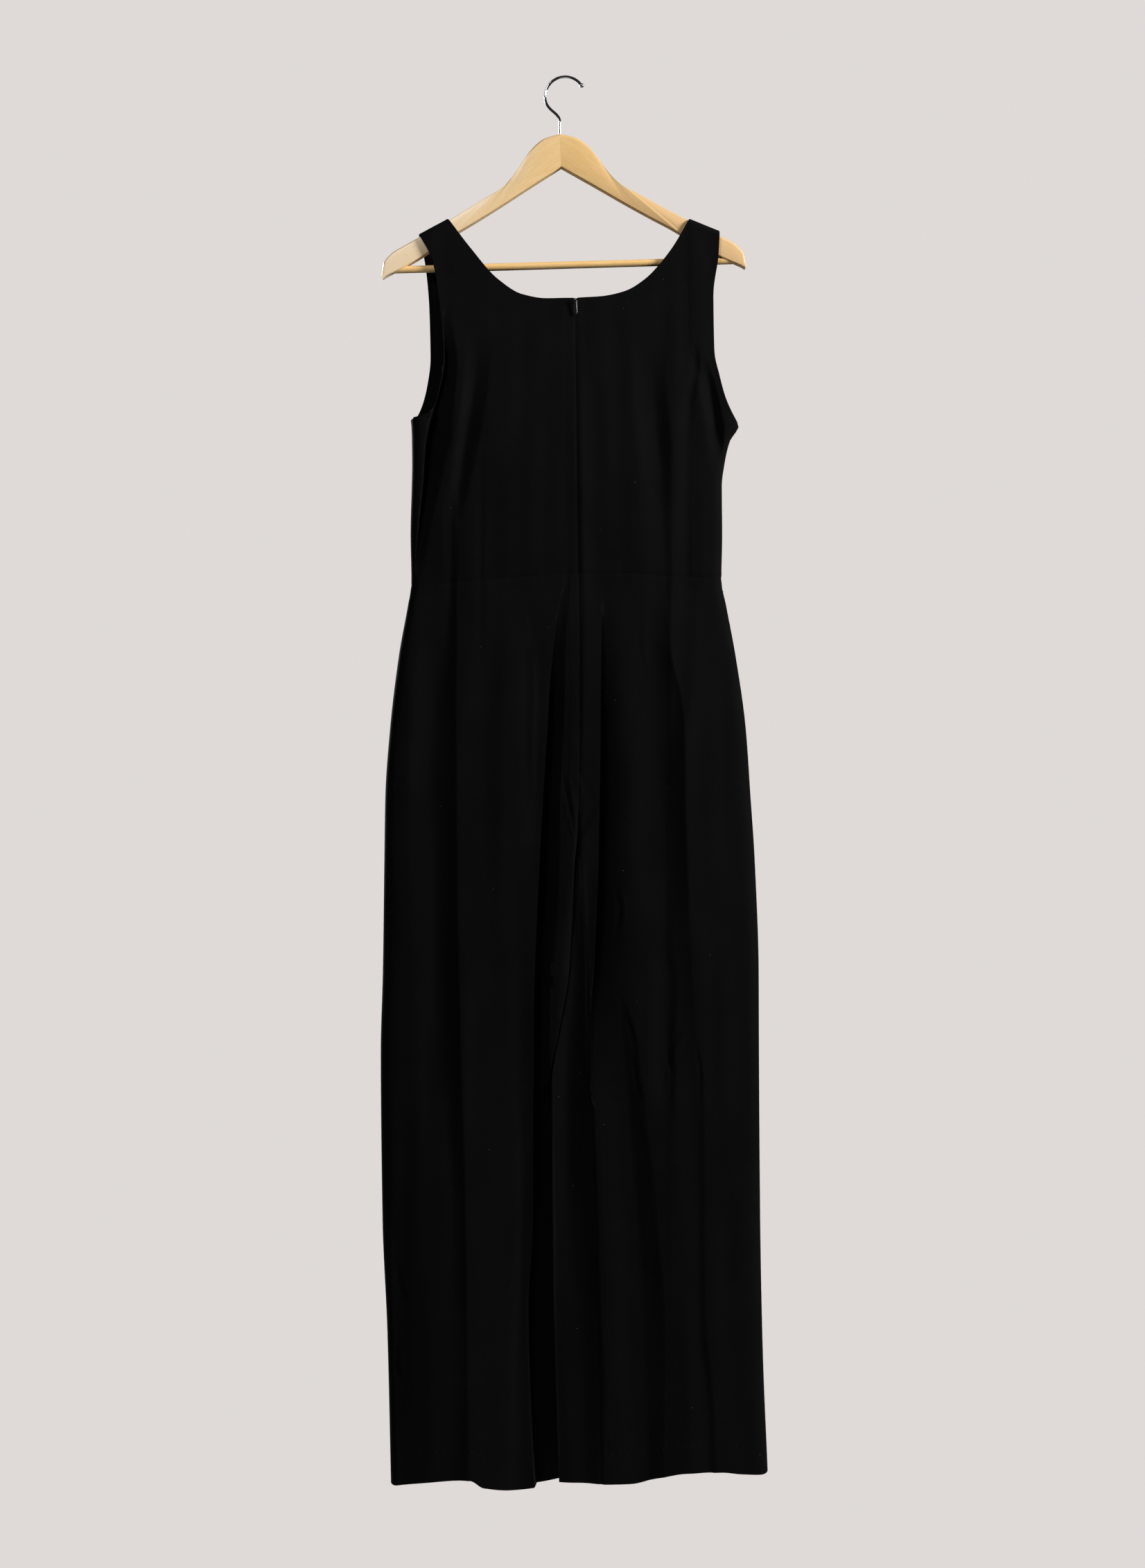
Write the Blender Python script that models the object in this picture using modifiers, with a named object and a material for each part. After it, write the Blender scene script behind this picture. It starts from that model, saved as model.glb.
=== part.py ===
"""A sleeveless jumpsuit with a zip at centre back, hanging flat on a wooden hanger.

All sizes and tables are in millimetres; MM turns them to metres where a mesh is made. +Z is up, the
garment's back faces -Y and +X is the right of that back. The origin is the inner top of the hook,
where a rail bears. Cloth is worked out by its outer face, on rows (down) and columns (across), and
its wall goes inwards from there.
"""

import math
from typing import NamedTuple

import bmesh
import bpy
import numpy as np
from mathutils import Matrix, Vector, kdtree

MM = 0.001
GARMENT = "jumpsuit_on_hanger"

CLOTH = 1.2  # wall of the crepe, doubled seams evened out
SEAM = 0.3  # gap between pieces that are sewn together or rest on each other
BACK, FRONT = -1, 1
LEFT, RIGHT = -1, 1
EDGE = {LEFT: "left", RIGHT: "right"}
LEAST_DEPTH = 2.0  # what is left of half the depth where folds meet
LEAST_SPACING = 1.6  # between columns where folds meet

WAIST_ROUNDING = 90.0  # height over which the rows below the waist seam straighten out
HEM_ROUNDING = 120.0  # the same above the hem
SHOULDER_BEND = 8.0  # height over which a strap bends over the hanger
LEGS_FROM = -640.0  # height where the hips' section starts to fill out to that of two legs
CROTCH = -935.0
CROTCH_CURVE = 60.0  # height over which the rise seams swing round to the crotch point


class Section(NamedTuple):
    """The garment's level section: its left and right edges and half its front-to-back depth."""

    z: float
    left: float
    right: float
    depth: float


SECTIONS = (  # above the underarms the edges are those the cloth would reach without armholes
    Section(-165, -300.0, 300.0, 10.0),
    Section(-240, -270.0, 285.0, 11.0),
    Section(-300, -240.0, 262.0, 15.0),
    Section(-360, -212.0, 240.0, 19.5),
    Section(-400, -196.0, 222.0, 22.5),
    Section(-418, -189.0, 214.0, 23.5),
    Section(-428, -188.0, 212.0, 24.0),
    Section(-445, -187.3, 201.5, 24.5),
    Section(-475, -187.0, 194.5, 25.0),
    Section(-500, -187.5, 191.5, 25.0),
    Section(-560, -189.0, 192.0, 23.5),
    Section(-616, -188.0, 191.0, 22.0),
    Section(-646, -192.5, 196.7, 23.0),
    Section(-710, -203.5, 208.6, 26.0),
    Section(-795, -213.7, 220.5, 28.5),
    Section(-879, -219.6, 226.4, 29.5),
    Section(-956, -220.8, 231.5, 30.0),
    Section(-1091, -222.6, 236.4, 30.0),
    Section(-1193, -225.2, 236.8, 30.0),
    Section(-1397, -223.0, 238.3, 30.0),
    Section(-1532, -217.1, 240.8, 31.0),
    Section(-1720, -212.5, 247.6, 32.0),
)


class LegSection(NamedTuple):
    """Where the two legs meet below the crotch: the left leg tucks behind the right leg's inner fold.

    left_in, right_in: the legs' inner edges; left_y, right_y: their depth places; inseam: the right
    leg's inseam, which lies on the back; dive: where the left leg's back starts to go under the right
    leg; tuck: how far the facing sides of both legs are pressed in.
    """

    z: float
    left_in: float
    left_y: float
    right_in: float
    right_y: float
    inseam: float
    dive: float
    tuck: float


LEGS = (
    LegSection(-935, 14.7, -20.5, 15.0, -18.6, 19.5, -9.0, 0.0),
    LegSection(-941, 13.9, -17.0, 14.7, -18.6, 20.8, -9.0, 2.0),
    LegSection(-960, 11.8, -4.0, 13.4, -18.5, 22.4, -9.0, 12.0),
    LegSection(-985, 9.6, 8.0, 11.6, -18.2, 22.8, -8.0, 26.0),
    LegSection(-1040, 8.4, 12.0, 9.2, -18.0, 23.9, -7.0, 27.0),
    LegSection(-1099, 8.0, 12.0, 5.6, -18.0, 24.1, -9.0, 27.0),
    LegSection(-1159, 8.0, 12.0, -8.0, -18.0, 24.4, -21.0, 27.0),
    LegSection(-1216, 7.8, 12.0, -15.5, -18.0, 29.2, -40.0, 27.0),
    LegSection(-1429, 7.0, 12.0, -15.0, -18.0, 38.2, -40.0, 27.0),
    LegSection(-1720, 6.0, 12.0, -8.0, -18.0, 44.1, -34.0, 28.0),
)
TOE_STEP = 4.0  # the right leg's front face steps in this far outside the left leg's inner edge
TOE_BANK = 26.0
TOE_EXTRA = 7.0  # how much further than the tuck the right leg's front is pressed in

# Lines across the garment, as (height, x) or (x, height).
CENTRE_BACK = ((-272, 12.5), (-303, 12.7), (-566, 15.3), (-661, 17.2), (-752, 18.6), (-880, 16.4))
CENTRE_BACK += ((-935, 15.3),)
CENTRE_FRONT = ((-270, 12.0), (-620, 13.0), (-935, 15.3))
WAIST = ((-188, -622.5), (-89, -616.0), (15, -608.5), (63, -608.0), (127, -611.0), (190, -614.0))
HEM_LEFT = (
    (-213, -1716.0),
    (-150, -1708.0),
    (-115, -1706.0),
    (-98, -1716.0),
    (-58, -1720.5),
    (-30, -1717.0),
    (6, -1709.5),
)
HEM_RIGHT = (
    (-8, -1710.0),
    (80, -1711.0),
    (115, -1703.0),
    (150, -1697.0),
    (190, -1697.0),
    (215, -1700.0),
    (248, -1702.0),
)


class Fold(NamedTuple):
    """A trough pressed into a cloth face as it runs down the garment.

    path holds (height, x) and depth (height, depth) pairs; left and right are its banks' widths.
    """

    path: tuple
    depth: tuple
    left: float
    right: float


BACK_FOLDS = {
    "left_pleat": Fold(
        path=((-620, -131), (-837, -133), (-1193, -125), (-1720, -118)),
        depth=((-590, 0), (-620, 1), (-700, 6), (-1100, 10), (-1720, 12)),
        left=34,
        right=8,
    ),
    "inner_valley": Fold(
        path=((-616, -3), (-667, -12), (-718, -16), (-837, -15), (-935, -18), (-1099, -24), (-1216, -30)),
        depth=((-590, 0), (-620, 1), (-667, 5), (-795, 14), (-935, 19), (-1099, 20), (-1159, 13), (-1230, 0)),
        left=24,
        right=10,
    ),
    "right_of_seam": Fold(
        path=((-640, 52), (-750, 58), (-1000, 61), (-1180, 62), (-1720, 66)),
        depth=((-640, 0), (-720, 4), (-837, 9), (-1000, 9), (-1180, 5), (-1400, 0)),
        left=21,
        right=26,
    ),
    "right_dart_valley": Fold(
        path=((-612, 129), (-700, 129), (-837, 140), (-964, 147), (-1090, 152), (-1720, 156)),
        depth=((-590, 0), (-620, 1), (-700, 4), (-837, 8), (-964, 7), (-1134, 2), (-1250, 0)),
        left=20,
        right=7,
    ),
    "right_leg_middle": Fold(
        path=((-616, 96), (-1218, 97), (-1720, 106)),
        depth=((-1150, 0), (-1300, 4), (-1720, 7)),
        left=22,
        right=22,
    ),
    "right_leg_outer": Fold(
        path=((-616, 172), (-1193, 174), (-1720, 176)),
        depth=((-1100, 0), (-1300, 3), (-1720, 4)),
        left=18,
        right=7,
    ),
    "inseam_trough": Fold(
        path=((-1040, 16), (-1429, 27), (-1720, 33)),
        depth=((-1040, 0), (-1200, 3), (-1720, 5)),
        left=14,
        right=10,
    ),
    "left_dart": Fold(
        path=((-425, -98), (-726, -97)),
        depth=((-430, 0), (-600, 2), (-640, 2), (-726, 0)),
        left=9,
        right=9,
    ),
    "right_dart": Fold(
        path=((-416, 130), (-612, 129)),
        depth=((-420, 0), (-600, 2), (-620, 1), (-650, 0)),
        left=9,
        right=9,
    ),
    "left_armhole_valley": Fold(
        path=((-300, -141), (-379, -141), (-430, -155), (-500, -168), (-583, -180)),
        depth=((-290, 0), (-340, 3), (-420, 7), (-500, 4), (-583, 0)),
        left=18,
        right=16,
    ),
    "right_underarm_crease": Fold(
        path=((-357, 172), (-393, 182), (-442, 187), (-475, 190)),
        depth=((-345, 0), (-390, 3), (-440, 4), (-478, 0)),
        left=15,
        right=10,
    ),
    "left_bodice_drape": Fold(
        path=((-328, -95), (-416, -104), (-506, -125)),
        depth=((-300, 0), (-416, 4), (-560, 0)),
        left=22,
        right=16,
    ),
    "right_bodice_drape": Fold(
        path=((-340, 104), (-416, 120), (-470, 134)),
        depth=((-310, 0), (-400, 3), (-490, 0)),
        left=16,
        right=22,
    ),
}

FRONT_FOLDS = {
    "left_crease": Fold(
        path=((-616, -112), (-1720, -108)),
        depth=((-616, 0), (-760, 4), (-1200, 7), (-1720, 9)),
        left=28,
        right=14,
    ),
    "left_inner": Fold(
        path=((-616, -42), (-1000, -52), (-1720, -46)),
        depth=((-640, 0), (-800, 4), (-1100, 7), (-1720, 8)),
        left=16,
        right=24,
    ),
    "right_inner": Fold(
        path=((-616, 70), (-1000, 76), (-1720, 82)),
        depth=((-640, 0), (-800, 5), (-1100, 7), (-1720, 8)),
        left=24,
        right=16,
    ),
    "right_crease": Fold(
        path=((-616, 130), (-1720, 146)),
        depth=((-616, 0), (-760, 4), (-1200, 6), (-1720, 8)),
        left=14,
        right=28,
    ),
    "left_bust": Fold(
        path=((-380, -92), (-600, -84)),
        depth=((-400, 0), (-590, 2), (-625, 1), (-700, 0)),
        left=10,
        right=10,
    ),
    "right_bust": Fold(
        path=((-380, 110), (-600, 104)),
        depth=((-400, 0), (-590, 2), (-625, 1), (-700, 0)),
        left=10,
        right=10,
    ),
    "left_drape": Fold(
        path=((-330, -120), (-520, -146)),
        depth=((-310, 0), (-420, 5), (-560, 0)),
        left=20,
        right=16,
    ),
    "right_drape": Fold(
        path=((-330, 140), (-520, 156)),
        depth=((-310, 0), (-420, 4), (-560, 0)),
        left=16,
        right=20,
    ),
}
FOLDS = {BACK: BACK_FOLDS, FRONT: FRONT_FOLDS}

# Panel edges, as (x, z), from the shoulder seam down.
LEFT_SHOULDER, RIGHT_SHOULDER = (-178.9, -191.7), (188.3, -187.4)
LEFT_NECK, RIGHT_NECK = (-144.2, -173.0), (152.6, -172.9)
NOTCH_FOOT = (12.5, -284)  # the foot of the small V where the zip opens
ARMHOLES = {
    (BACK, LEFT): (
        LEFT_SHOULDER,
        (-161, -227.5),
        (-152, -284),
        (-147.3, -345),
        (-150.5, -386),
        (-158, -407.5),
        (-171, -416),
        (-189, -420),
    ),
    (BACK, RIGHT): (
        RIGHT_SHOULDER,
        (186.5, -220),
        (180.2, -270),
        (181, -335),
        (187, -367),
        (194.5, -395),
        (203, -414),
        (212, -428),
    ),
    (FRONT, LEFT): (
        LEFT_SHOULDER,
        (-170.5, -233),
        (-164.5, -284),
        (-163, -338),
        (-167, -372),
        (-173, -396),
        (-180.5, -411),
        (-189, -420),
    ),
    (FRONT, RIGHT): (
        RIGHT_SHOULDER,
        (182, -225),
        (174.5, -275),
        (174, -335),
        (180, -367),
        (189, -395),
        (200, -414),
        (212, -428),
    ),
}
NECKLINES = {
    (BACK, LEFT): (
        LEFT_NECK,
        (-114.5, -212),
        (-83, -248),
        (-52.6, -267.5),
        (-24, -272.5),
        (8.6, -272.5),
        NOTCH_FOOT,
    ),
    (BACK, RIGHT): (
        RIGHT_NECK,
        (129.7, -212),
        (98.4, -248),
        (72, -264),
        (42, -270.5),
        (16.4, -272.5),
        NOTCH_FOOT,
    ),
    (FRONT, LEFT): (
        LEFT_NECK,
        (-124, -212),
        (-96, -252),
        (-66, -276),
        (-38, -286.5),
        (-13, -290.5),
        (12, -291.5),
    ),
    (FRONT, RIGHT): (
        RIGHT_NECK,
        (134, -212),
        (110, -252),
        (84, -276),
        (58, -286.5),
        (35, -290.5),
        (12, -291.5),
    ),
}
SHOULDER_SLOPES = {LEFT: (LEFT_SHOULDER, 0.539), RIGHT: (RIGHT_SHOULDER, -0.406)}

ZIP_END = -790.0
TAPE_WIDTH = 11.0
TAPE = 0.8


class Slider(NamedTuple):
    """The zip's slider behind the notch, with a wire bridge that passes out through the V."""

    width: float = 6.4
    depth: float = 4.0
    top: float = -272.0
    foot: float = -283.5
    front: float = -11.3  # place of its front face, just behind the cloth
    bevel: float = 0.8
    bridge_wire: float = 0.55
    bridge_radius: float = 1.8
    axis_y: float = -16.8
    axis_z: float = -275.5


class Pull(NamedTuple):
    """The pull tab: a flat teardrop with a slot, hung from its top bar. Heights are from the axis."""

    thickness: float = 1.1
    top: float = 0.8
    bar_foot: float = -0.75
    slot_foot: float = -2.7
    slot_half: float = 1.0
    top_half: float = 2.2
    end_half: float = 3.1
    end_centre: float = -15.6


class Hanger(NamedTuple):
    """The wooden hanger: its tables are for its right half, from the top of its head."""

    apex_x: float = -6.2
    apex_z: float = -69.2
    roll_deg: float = 1.6
    depth: float = 12.0
    rounding: float = 5.0
    top: tuple = (
        (0, 0),
        (19, -5),
        (33.5, -15.8),
        (44.6, -30),
        (56.7, -48.5),
        (71, -63),
        (97, -78),
        (135, -100),
        (192, -130),
        (209, -139.5),
        (220.5, -153),
        (222.5, -167),
    )
    underside: tuple = (
        (0, -41),
        (20, -53),
        (41, -65.6),
        (76, -87),
        (105, -104),
        (135, -121),
        (160, -137.5),
        (178, -148.5),
        (196, -158),
        (211, -165),
        (217, -168),
        (221.5, -171),
    )
    bar_drop: float = 160.0
    bar_radius: float = 4.5
    bar_reach: float = 213.0
    socket_play: float = 0.3
    shank_depth: float = 25.0


class Hook(NamedTuple):
    """The wire hook, bent in the garment's own plane."""

    wire: float = 1.6
    radius: float = 24.5
    tip_deg: float = 34.0
    ball: float = 2.6


def smooth(stations, values, at):
    """A curve through a table that never overshoots it; past its ends it stays level."""
    order = np.argsort(stations)
    x = np.asarray(stations, float)[order]
    y = np.asarray(values, float)[order]
    step = np.diff(x)
    slope = np.diff(y) / step
    product = slope[1:] * slope[:-1]
    total = np.where(product > 0, slope[1:] + slope[:-1], 1.0)
    inner = np.where(product > 0, 2 * product / total, 0.0)
    tangent = np.concatenate(([slope[0]], inner, [slope[-1]]))
    k = np.clip(np.searchsorted(x, at) - 1, 0, len(step) - 1)
    t = np.clip((at - x[k]) / step[k], 0, 1)
    rise = t * t * (3 - 2 * t)
    lead = t * (1 - t) * ((1 - t) * tangent[k] - t * tangent[k + 1]) * step[k]
    return y[k] + (y[k + 1] - y[k]) * rise + lead


def by_height(pairs, z):
    """A (height, value) table read at the heights z."""
    heights, values = zip(*pairs)
    return smooth(heights, values, z)


def by_x(pairs, x):
    """An (x, height) table read at the places x."""
    places, heights = zip(*pairs)
    return smooth(places, heights, x)


def column(table, name, z):
    """A named column of a table of sections, read at the heights z."""
    return smooth([row.z for row in table], [getattr(row, name) for row in table], z)


def along(points, t):
    """A curve through (x, z) points at the places t, counted in points."""
    index = np.arange(len(points))
    x, z = zip(*points)
    return smooth(index, x, t), smooth(index, z, t)


def rounding(x, low, high):
    """1 on the flat of a section, falling to 0 where it turns at its two edges."""
    across = np.clip((2 * x - low - high) / (high - low), -1, 1)
    return np.sqrt(1 - across**4)


def slope_up(away, bank):
    """Rises smoothly from 0 to 1 as away goes from 0 to bank."""
    t = np.clip(away / bank, 0, 1)
    return t * t * (3 - 2 * t)


def pressed(face, x, z):
    """The depth that a face's folds press it in."""
    total = np.zeros_like(x)
    for fold in FOLDS[face].values():
        away = x - by_height(fold.path, z)
        bank = np.where(away < 0, fold.left, fold.right)
        total += by_height(fold.depth, z) * (1 - slope_up(np.abs(away), bank))
    return total


def torso_y(face, x, z):
    """The depth place of a face of the bodice and hips, bent over the hanger at the shoulders.

    From the waist down its section fills out to that of two legs side by side.
    """
    left, right = column(SECTIONS, "left", z), column(SECTIONS, "right", z)
    centre = CENTRE_BACK[-1][1]
    in_left = rounding(np.minimum(x, (left + centre) / 2), left, centre)
    in_right = rounding(np.maximum(x, (right + centre) / 2), centre, right)
    two_legs = np.where(x < centre, in_left, in_right)
    legs_part = slope_up(LEGS_FROM - z, LEGS_FROM - (CROTCH + CROTCH_CURVE))
    flat = rounding(x, left, right) * (1 - legs_part) + two_legs * legs_part
    bend = np.ones_like(x)
    for side, ((shoulder_x, shoulder_z), slope) in SHOULDER_SLOPES.items():
        drop = shoulder_z + slope * (x - shoulder_x) - z
        over = 1 - np.clip(drop / SHOULDER_BEND, 0, 1)
        bend = np.where(x * side > 60, np.sqrt(1 - over**2), bend)
    return face * (column(SECTIONS, "depth", z) - pressed(face, x, z)) * flat * bend


def leg_y(side, face, x, z):
    """The depth place of a leg's face, whose inner edge is turned forward or back past the other leg's."""
    outer = column(SECTIONS, EDGE[side], z)
    inner = column(LEGS, "left_in" if side == LEFT else "right_in", z)
    flat = rounding(x, np.minimum(inner, outer), np.maximum(inner, outer))
    depth = column(SECTIONS, "depth", z) - pressed(face, x, z)
    tuck = column(LEGS, "tuck", z)
    if side == LEFT and face == BACK:
        dive = column(LEGS, "dive", z)
        bank = column(LEGS, "right_in", z) - dive
        depth = np.maximum(depth - tuck * slope_up(x - dive, bank), LEAST_DEPTH)
    if side == RIGHT and face == FRONT:
        toe = column(LEGS, "left_in", z) + TOE_STEP
        depth = depth - tuck * (1 + TOE_EXTRA / LEGS[-1].tuck) * slope_up(toe + TOE_BANK - x, TOE_BANK)
    turn = column(LEGS, "left_y" if side == LEFT else "right_y", z)
    inner_half = np.abs(x - outer) > np.abs(x - inner)
    return face * depth * flat + turn * (1 - flat) * inner_half


def between(start, end, parts):
    """Places on the way from start to end."""
    return [start + (end - start) * part for part in parts]


def in_order(side, start, columns, limit):
    """The places of the columns from the side seam inwards, kept apart and between start and limit."""
    inwards = np.sort(-side * np.array(columns), axis=0)
    inwards[0] = np.maximum(inwards[0], -side * start + LEAST_SPACING)
    for i in range(1, len(inwards)):
        inwards[i] = np.maximum(inwards[i], inwards[i - 1] + LEAST_SPACING)
    bound = -side * limit
    for i in range(len(inwards) - 1, -1, -1):
        inwards[i] = np.minimum(inwards[i], bound - LEAST_SPACING)
        bound = inwards[i]
    return list(-side * inwards)


LEG_ROWS = (-616, -640, -680, -725, ZIP_END, -850, -875, -893, -908, -920, -929, CROTCH, -941, -950, -963)
LEG_ROWS += (-985, -1025, -1070, -1115, -1165, -1216, -1300, -1390, -1480, -1570, -1645, -1712)
FRONT_ENDS = {LEFT: 5, RIGHT: 12}
WRAP = 4  # columns of the right leg's front that lie on the back


def fold_columns(side, face, z):
    """Columns of a trouser panel where its folds turn."""
    places = {name: by_height(fold.path, z) for name, fold in FOLDS[face].items()}
    if side == LEFT and face == BACK:
        pleat, valley = places["left_pleat"], places["inner_valley"]
        pleats = [pleat - 30, pleat - 12, pleat, pleat + 8, pleat + 30]
        return pleats + [valley - 24, valley - 11, valley, valley + 10]
    if side == RIGHT and face == BACK:
        near, middle = places["right_of_seam"], places["right_leg_middle"]
        dart, far = places["right_dart_valley"], places["right_leg_outer"]
        return [far + 8, far - 3, dart + 8, dart, dart - 16, middle, near + 20, near + 2, near - 8, near - 20]
    if side == LEFT:
        crease, near = places["left_crease"], places["left_inner"]
        return [crease - 26, crease - 8, crease + 14, near - 16, near, near + 24]
    crease, near = places["right_crease"], places["right_inner"]
    return [crease + 26, crease + 8, crease - 14, near + 16, near, near - 20]


def hip_ends(side, face, z, folds):
    """A panel's columns from its last fold to the centre seam, above the crotch."""
    centre = by_height(CENTRE_BACK if face == BACK else CENTRE_FRONT, z)
    tape = centre + side * TAPE_WIDTH
    if face == FRONT:
        steps = FRONT_ENDS[side]
        return [], between(folds[-1], centre, np.arange(1, steps + 1) / steps)
    if side == LEFT:
        return between(folds[-1], tape, (0.35, 0.7)), between(tape, centre, (0, 0.5, 0.9, 1))
    return [], [tape, centre]


def leg_ends(side, face, z, folds):
    """The same below the crotch; the right leg's front goes round its inner fold to the inseam."""
    inner = column(LEGS, "left_in" if side == LEFT else "right_in", z)
    inseam = column(LEGS, "inseam", z)
    if side == LEFT and face == BACK:
        under = np.minimum(column(LEGS, "right_in", z), inner - 2 * LEAST_SPACING)
        return between(column(LEGS, "dive", z), under, (0, 0.35, 0.7, 1)), [inner - 1, inner]
    if side == LEFT:
        return [], between(folds[-1], inner, (0.35, 0.7, 0.87, 0.96, 1))
    if face == BACK:
        return [], [inseam + 0.6 * TAPE_WIDTH, inseam]
    bank = column(LEGS, "left_in", z) + TOE_STEP + TOE_BANK
    front = between(bank, inner, (0, 0.17, 0.34, 0.5, 0.72, 0.88, 0.96, 1))
    width = inseam - inner
    back = [inner + np.minimum(3, 0.3 * width), inner + np.minimum(14, 0.6 * width)]
    return [], front + back + between(inner, inseam, (0.8, 1))


def panel_columns(side, face, z, ends_of):
    """The x places of a trouser panel's columns, closer where a fold turns, from its side seam inwards."""
    outer = column(SECTIONS, EDGE[side], z)
    rounded = [outer - side * away for away in (0, 1.5, 6, 16)]
    folds = fold_columns(side, face, z)
    more, ends = ends_of(side, face, z, folds)
    places = rounded + in_order(side, rounded[-1], folds + more, ends[0]) + ends
    return np.stack([np.broadcast_to(place, z.shape) for place in places], axis=1)


def leg_panel(side, face):
    """A trouser panel's grid: hips above the crotch, a leg below, and the rise seam's swing between."""
    z = np.array(LEG_ROWS, float)
    waist_z, hem_z = z[0], z[-1]
    near_waist = 1 - slope_up(waist_z - z, WAIST_ROUNDING)
    hip_x = panel_columns(side, face, z, hip_ends)
    hip_z = z[:, None] + (by_x(WAIST, hip_x) - waist_z) * near_waist[:, None]
    hip_x[:, 0] = column(SECTIONS, EDGE[side], hip_z[:, 0])
    at_hip = np.stack([hip_x, torso_y(face, hip_x, hip_z), hip_z], axis=2)
    leg_x = panel_columns(side, face, z, leg_ends)
    level = np.repeat(z[:, None], leg_x.shape[1], axis=1)
    leg = leg_y(side, face, leg_x, level)
    if (side, face) == (RIGHT, FRONT):
        leg[:, -WRAP:] = leg_y(side, BACK, leg_x, level)[:, -WRAP:]
    hem = by_x(HEM_LEFT if side == LEFT else HEM_RIGHT, leg_x)
    near_hem = 1 - slope_up(level - hem_z, HEM_ROUNDING)
    at_leg = np.stack([leg_x, leg, level + (hem - hem_z) * near_hem], axis=2)
    swing = (np.clip((CROTCH + CROTCH_CURVE - z) / CROTCH_CURVE, 0, 1) ** 2)[:, None, None]
    return at_hip * (1 - swing) + at_leg * swing


BEND_ROWS = (0.0, 0.13, 0.5, 1.0)  # rows where a strap bends over the hanger, as parts of that bend
NECK_ROWS = (0.35, 1.0, 1.7, 2.4, 3.2, 4.1, 5.0, 6.0)  # places along the neckline, in points
ARM_ROWS = (0.3, 0.7, 1.1, 1.5, 1.9, 2.3, 2.7, 3.0)  # the places along the armhole they join
UNDERARM_ROWS = (3.7, 4.5, 5.3, 7.0)  # places along the armhole, in points
CENTRE_UPPER = (-315, -348, -384, -418)  # heights at the centre line they join
SIDE_ROWS = 6
ARM_COLUMNS = (0, 0.05, 0.12, 0.2, 0.3, 0.4, 0.5, 0.6, 0.72, 0.86, 1)
SEAM_COLUMNS = (0, 0.008, 0.035, 0.09, 0.2, 0.32, 0.43, 0.52, 0.65, 0.8, 1)  # closer at the side seam


def bodice_half(face, side):
    """Half a bodice layer's grid, from the shoulder seam to the waist seam, outer edge to centre."""
    armhole, neckline = ARMHOLES[face, side], NECKLINES[face, side]
    centre_table = CENTRE_BACK if face == BACK else CENTRE_FRONT
    bend = np.array(BEND_ROWS) * SHOULDER_BEND
    arm_x, arm_z = along(armhole, np.concatenate([np.zeros(len(bend)), ARM_ROWS, UNDERARM_ROWS]))
    neck_x, neck_z = along(neckline, np.concatenate([np.zeros(len(bend)), NECK_ROWS]))
    arm_z[: len(bend)] -= bend
    neck_z[: len(bend)] -= bend
    down = np.linspace(0, 1, SIDE_ROWS + 1)[1:]
    side_z = arm_z[-1] + (by_x(WAIST, side * 190.0) - arm_z[-1]) * down
    centre_z = CENTRE_UPPER[-1] + (by_x(WAIST, 15.0) - CENTRE_UPPER[-1]) * down
    centre_z = np.concatenate([CENTRE_UPPER, centre_z])
    outer_x = np.concatenate([arm_x, column(SECTIONS, EDGE[side], side_z)])
    outer_z = np.concatenate([arm_z, side_z])
    inner_x = np.concatenate([neck_x, by_height(centre_table, centre_z)])
    inner_z = np.concatenate([neck_z, centre_z])
    on_side_seam = (np.arange(len(outer_x)) >= len(arm_x) - 1)[:, None]
    part = 1 - TAPE_WIDTH / np.hypot(inner_x - outer_x, inner_z - outer_z)
    across = np.where(on_side_seam, SEAM_COLUMNS, ARM_COLUMNS) * part[:, None]
    across = np.concatenate([across, np.ones((len(part), 1))], axis=1)
    x = outer_x[:, None] + (inner_x - outer_x)[:, None] * across
    z = outer_z[:, None] + (inner_z - outer_z)[:, None] * across
    z[-1] = by_x(WAIST, x[-1])
    return np.stack([x, torso_y(face, x, z), z], axis=2)


def ease(grid, first_column=False, last_column=False, first_row=False, last_row=False):
    """Pulls seam edges back by half the seam gap, so that sewn pieces lie that gap apart."""
    grid = grid.copy()
    rows = grid.transpose(1, 0, 2)
    for wanted, lines, edge, inside in (
        (first_column, rows, 0, 1),
        (last_column, rows, -1, -2),
        (first_row, grid, 0, 1),
        (last_row, grid, -1, -2),
    ):
        if wanted:
            inwards = lines[inside] - lines[edge]
            inwards /= np.linalg.norm(inwards, axis=1, keepdims=True)
            lines[edge] += inwards * SEAM / 2
    return grid


def sheet(grids):
    """One open surface from grids, as points and quads that all face out; shared points are welded."""
    points, quads, count = [], [], 0
    for grid, turned in grids:
        rows, columns = grid.shape[:2]
        index = np.arange(rows * columns).reshape(rows, columns) + count
        corners = (index[:-1, :-1], index[1:, :-1], index[1:, 1:], index[:-1, 1:])
        corners = corners[::-1] if turned else corners
        quads.append(np.stack(corners, axis=2).reshape(-1, 4))
        points.append(grid.reshape(-1, 3))
        count += rows * columns
    points, quads = np.concatenate(points), np.concatenate(quads)
    _, first, which = np.unique(np.round(points, 2), axis=0, return_index=True, return_inverse=True)
    return points[first], which.reshape(-1)[quads]


def point_normals(points, quads):
    """Each point's outward direction, from the quads round it by their area."""
    a, b, c, d = (points[quads[:, i]] for i in range(4))
    faces = np.cross(c - a, d - b)
    normals = np.zeros_like(points)
    for i in range(4):
        np.add.at(normals, quads[:, i], faces)
    return normals / np.linalg.norm(normals, axis=1, keepdims=True)


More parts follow.
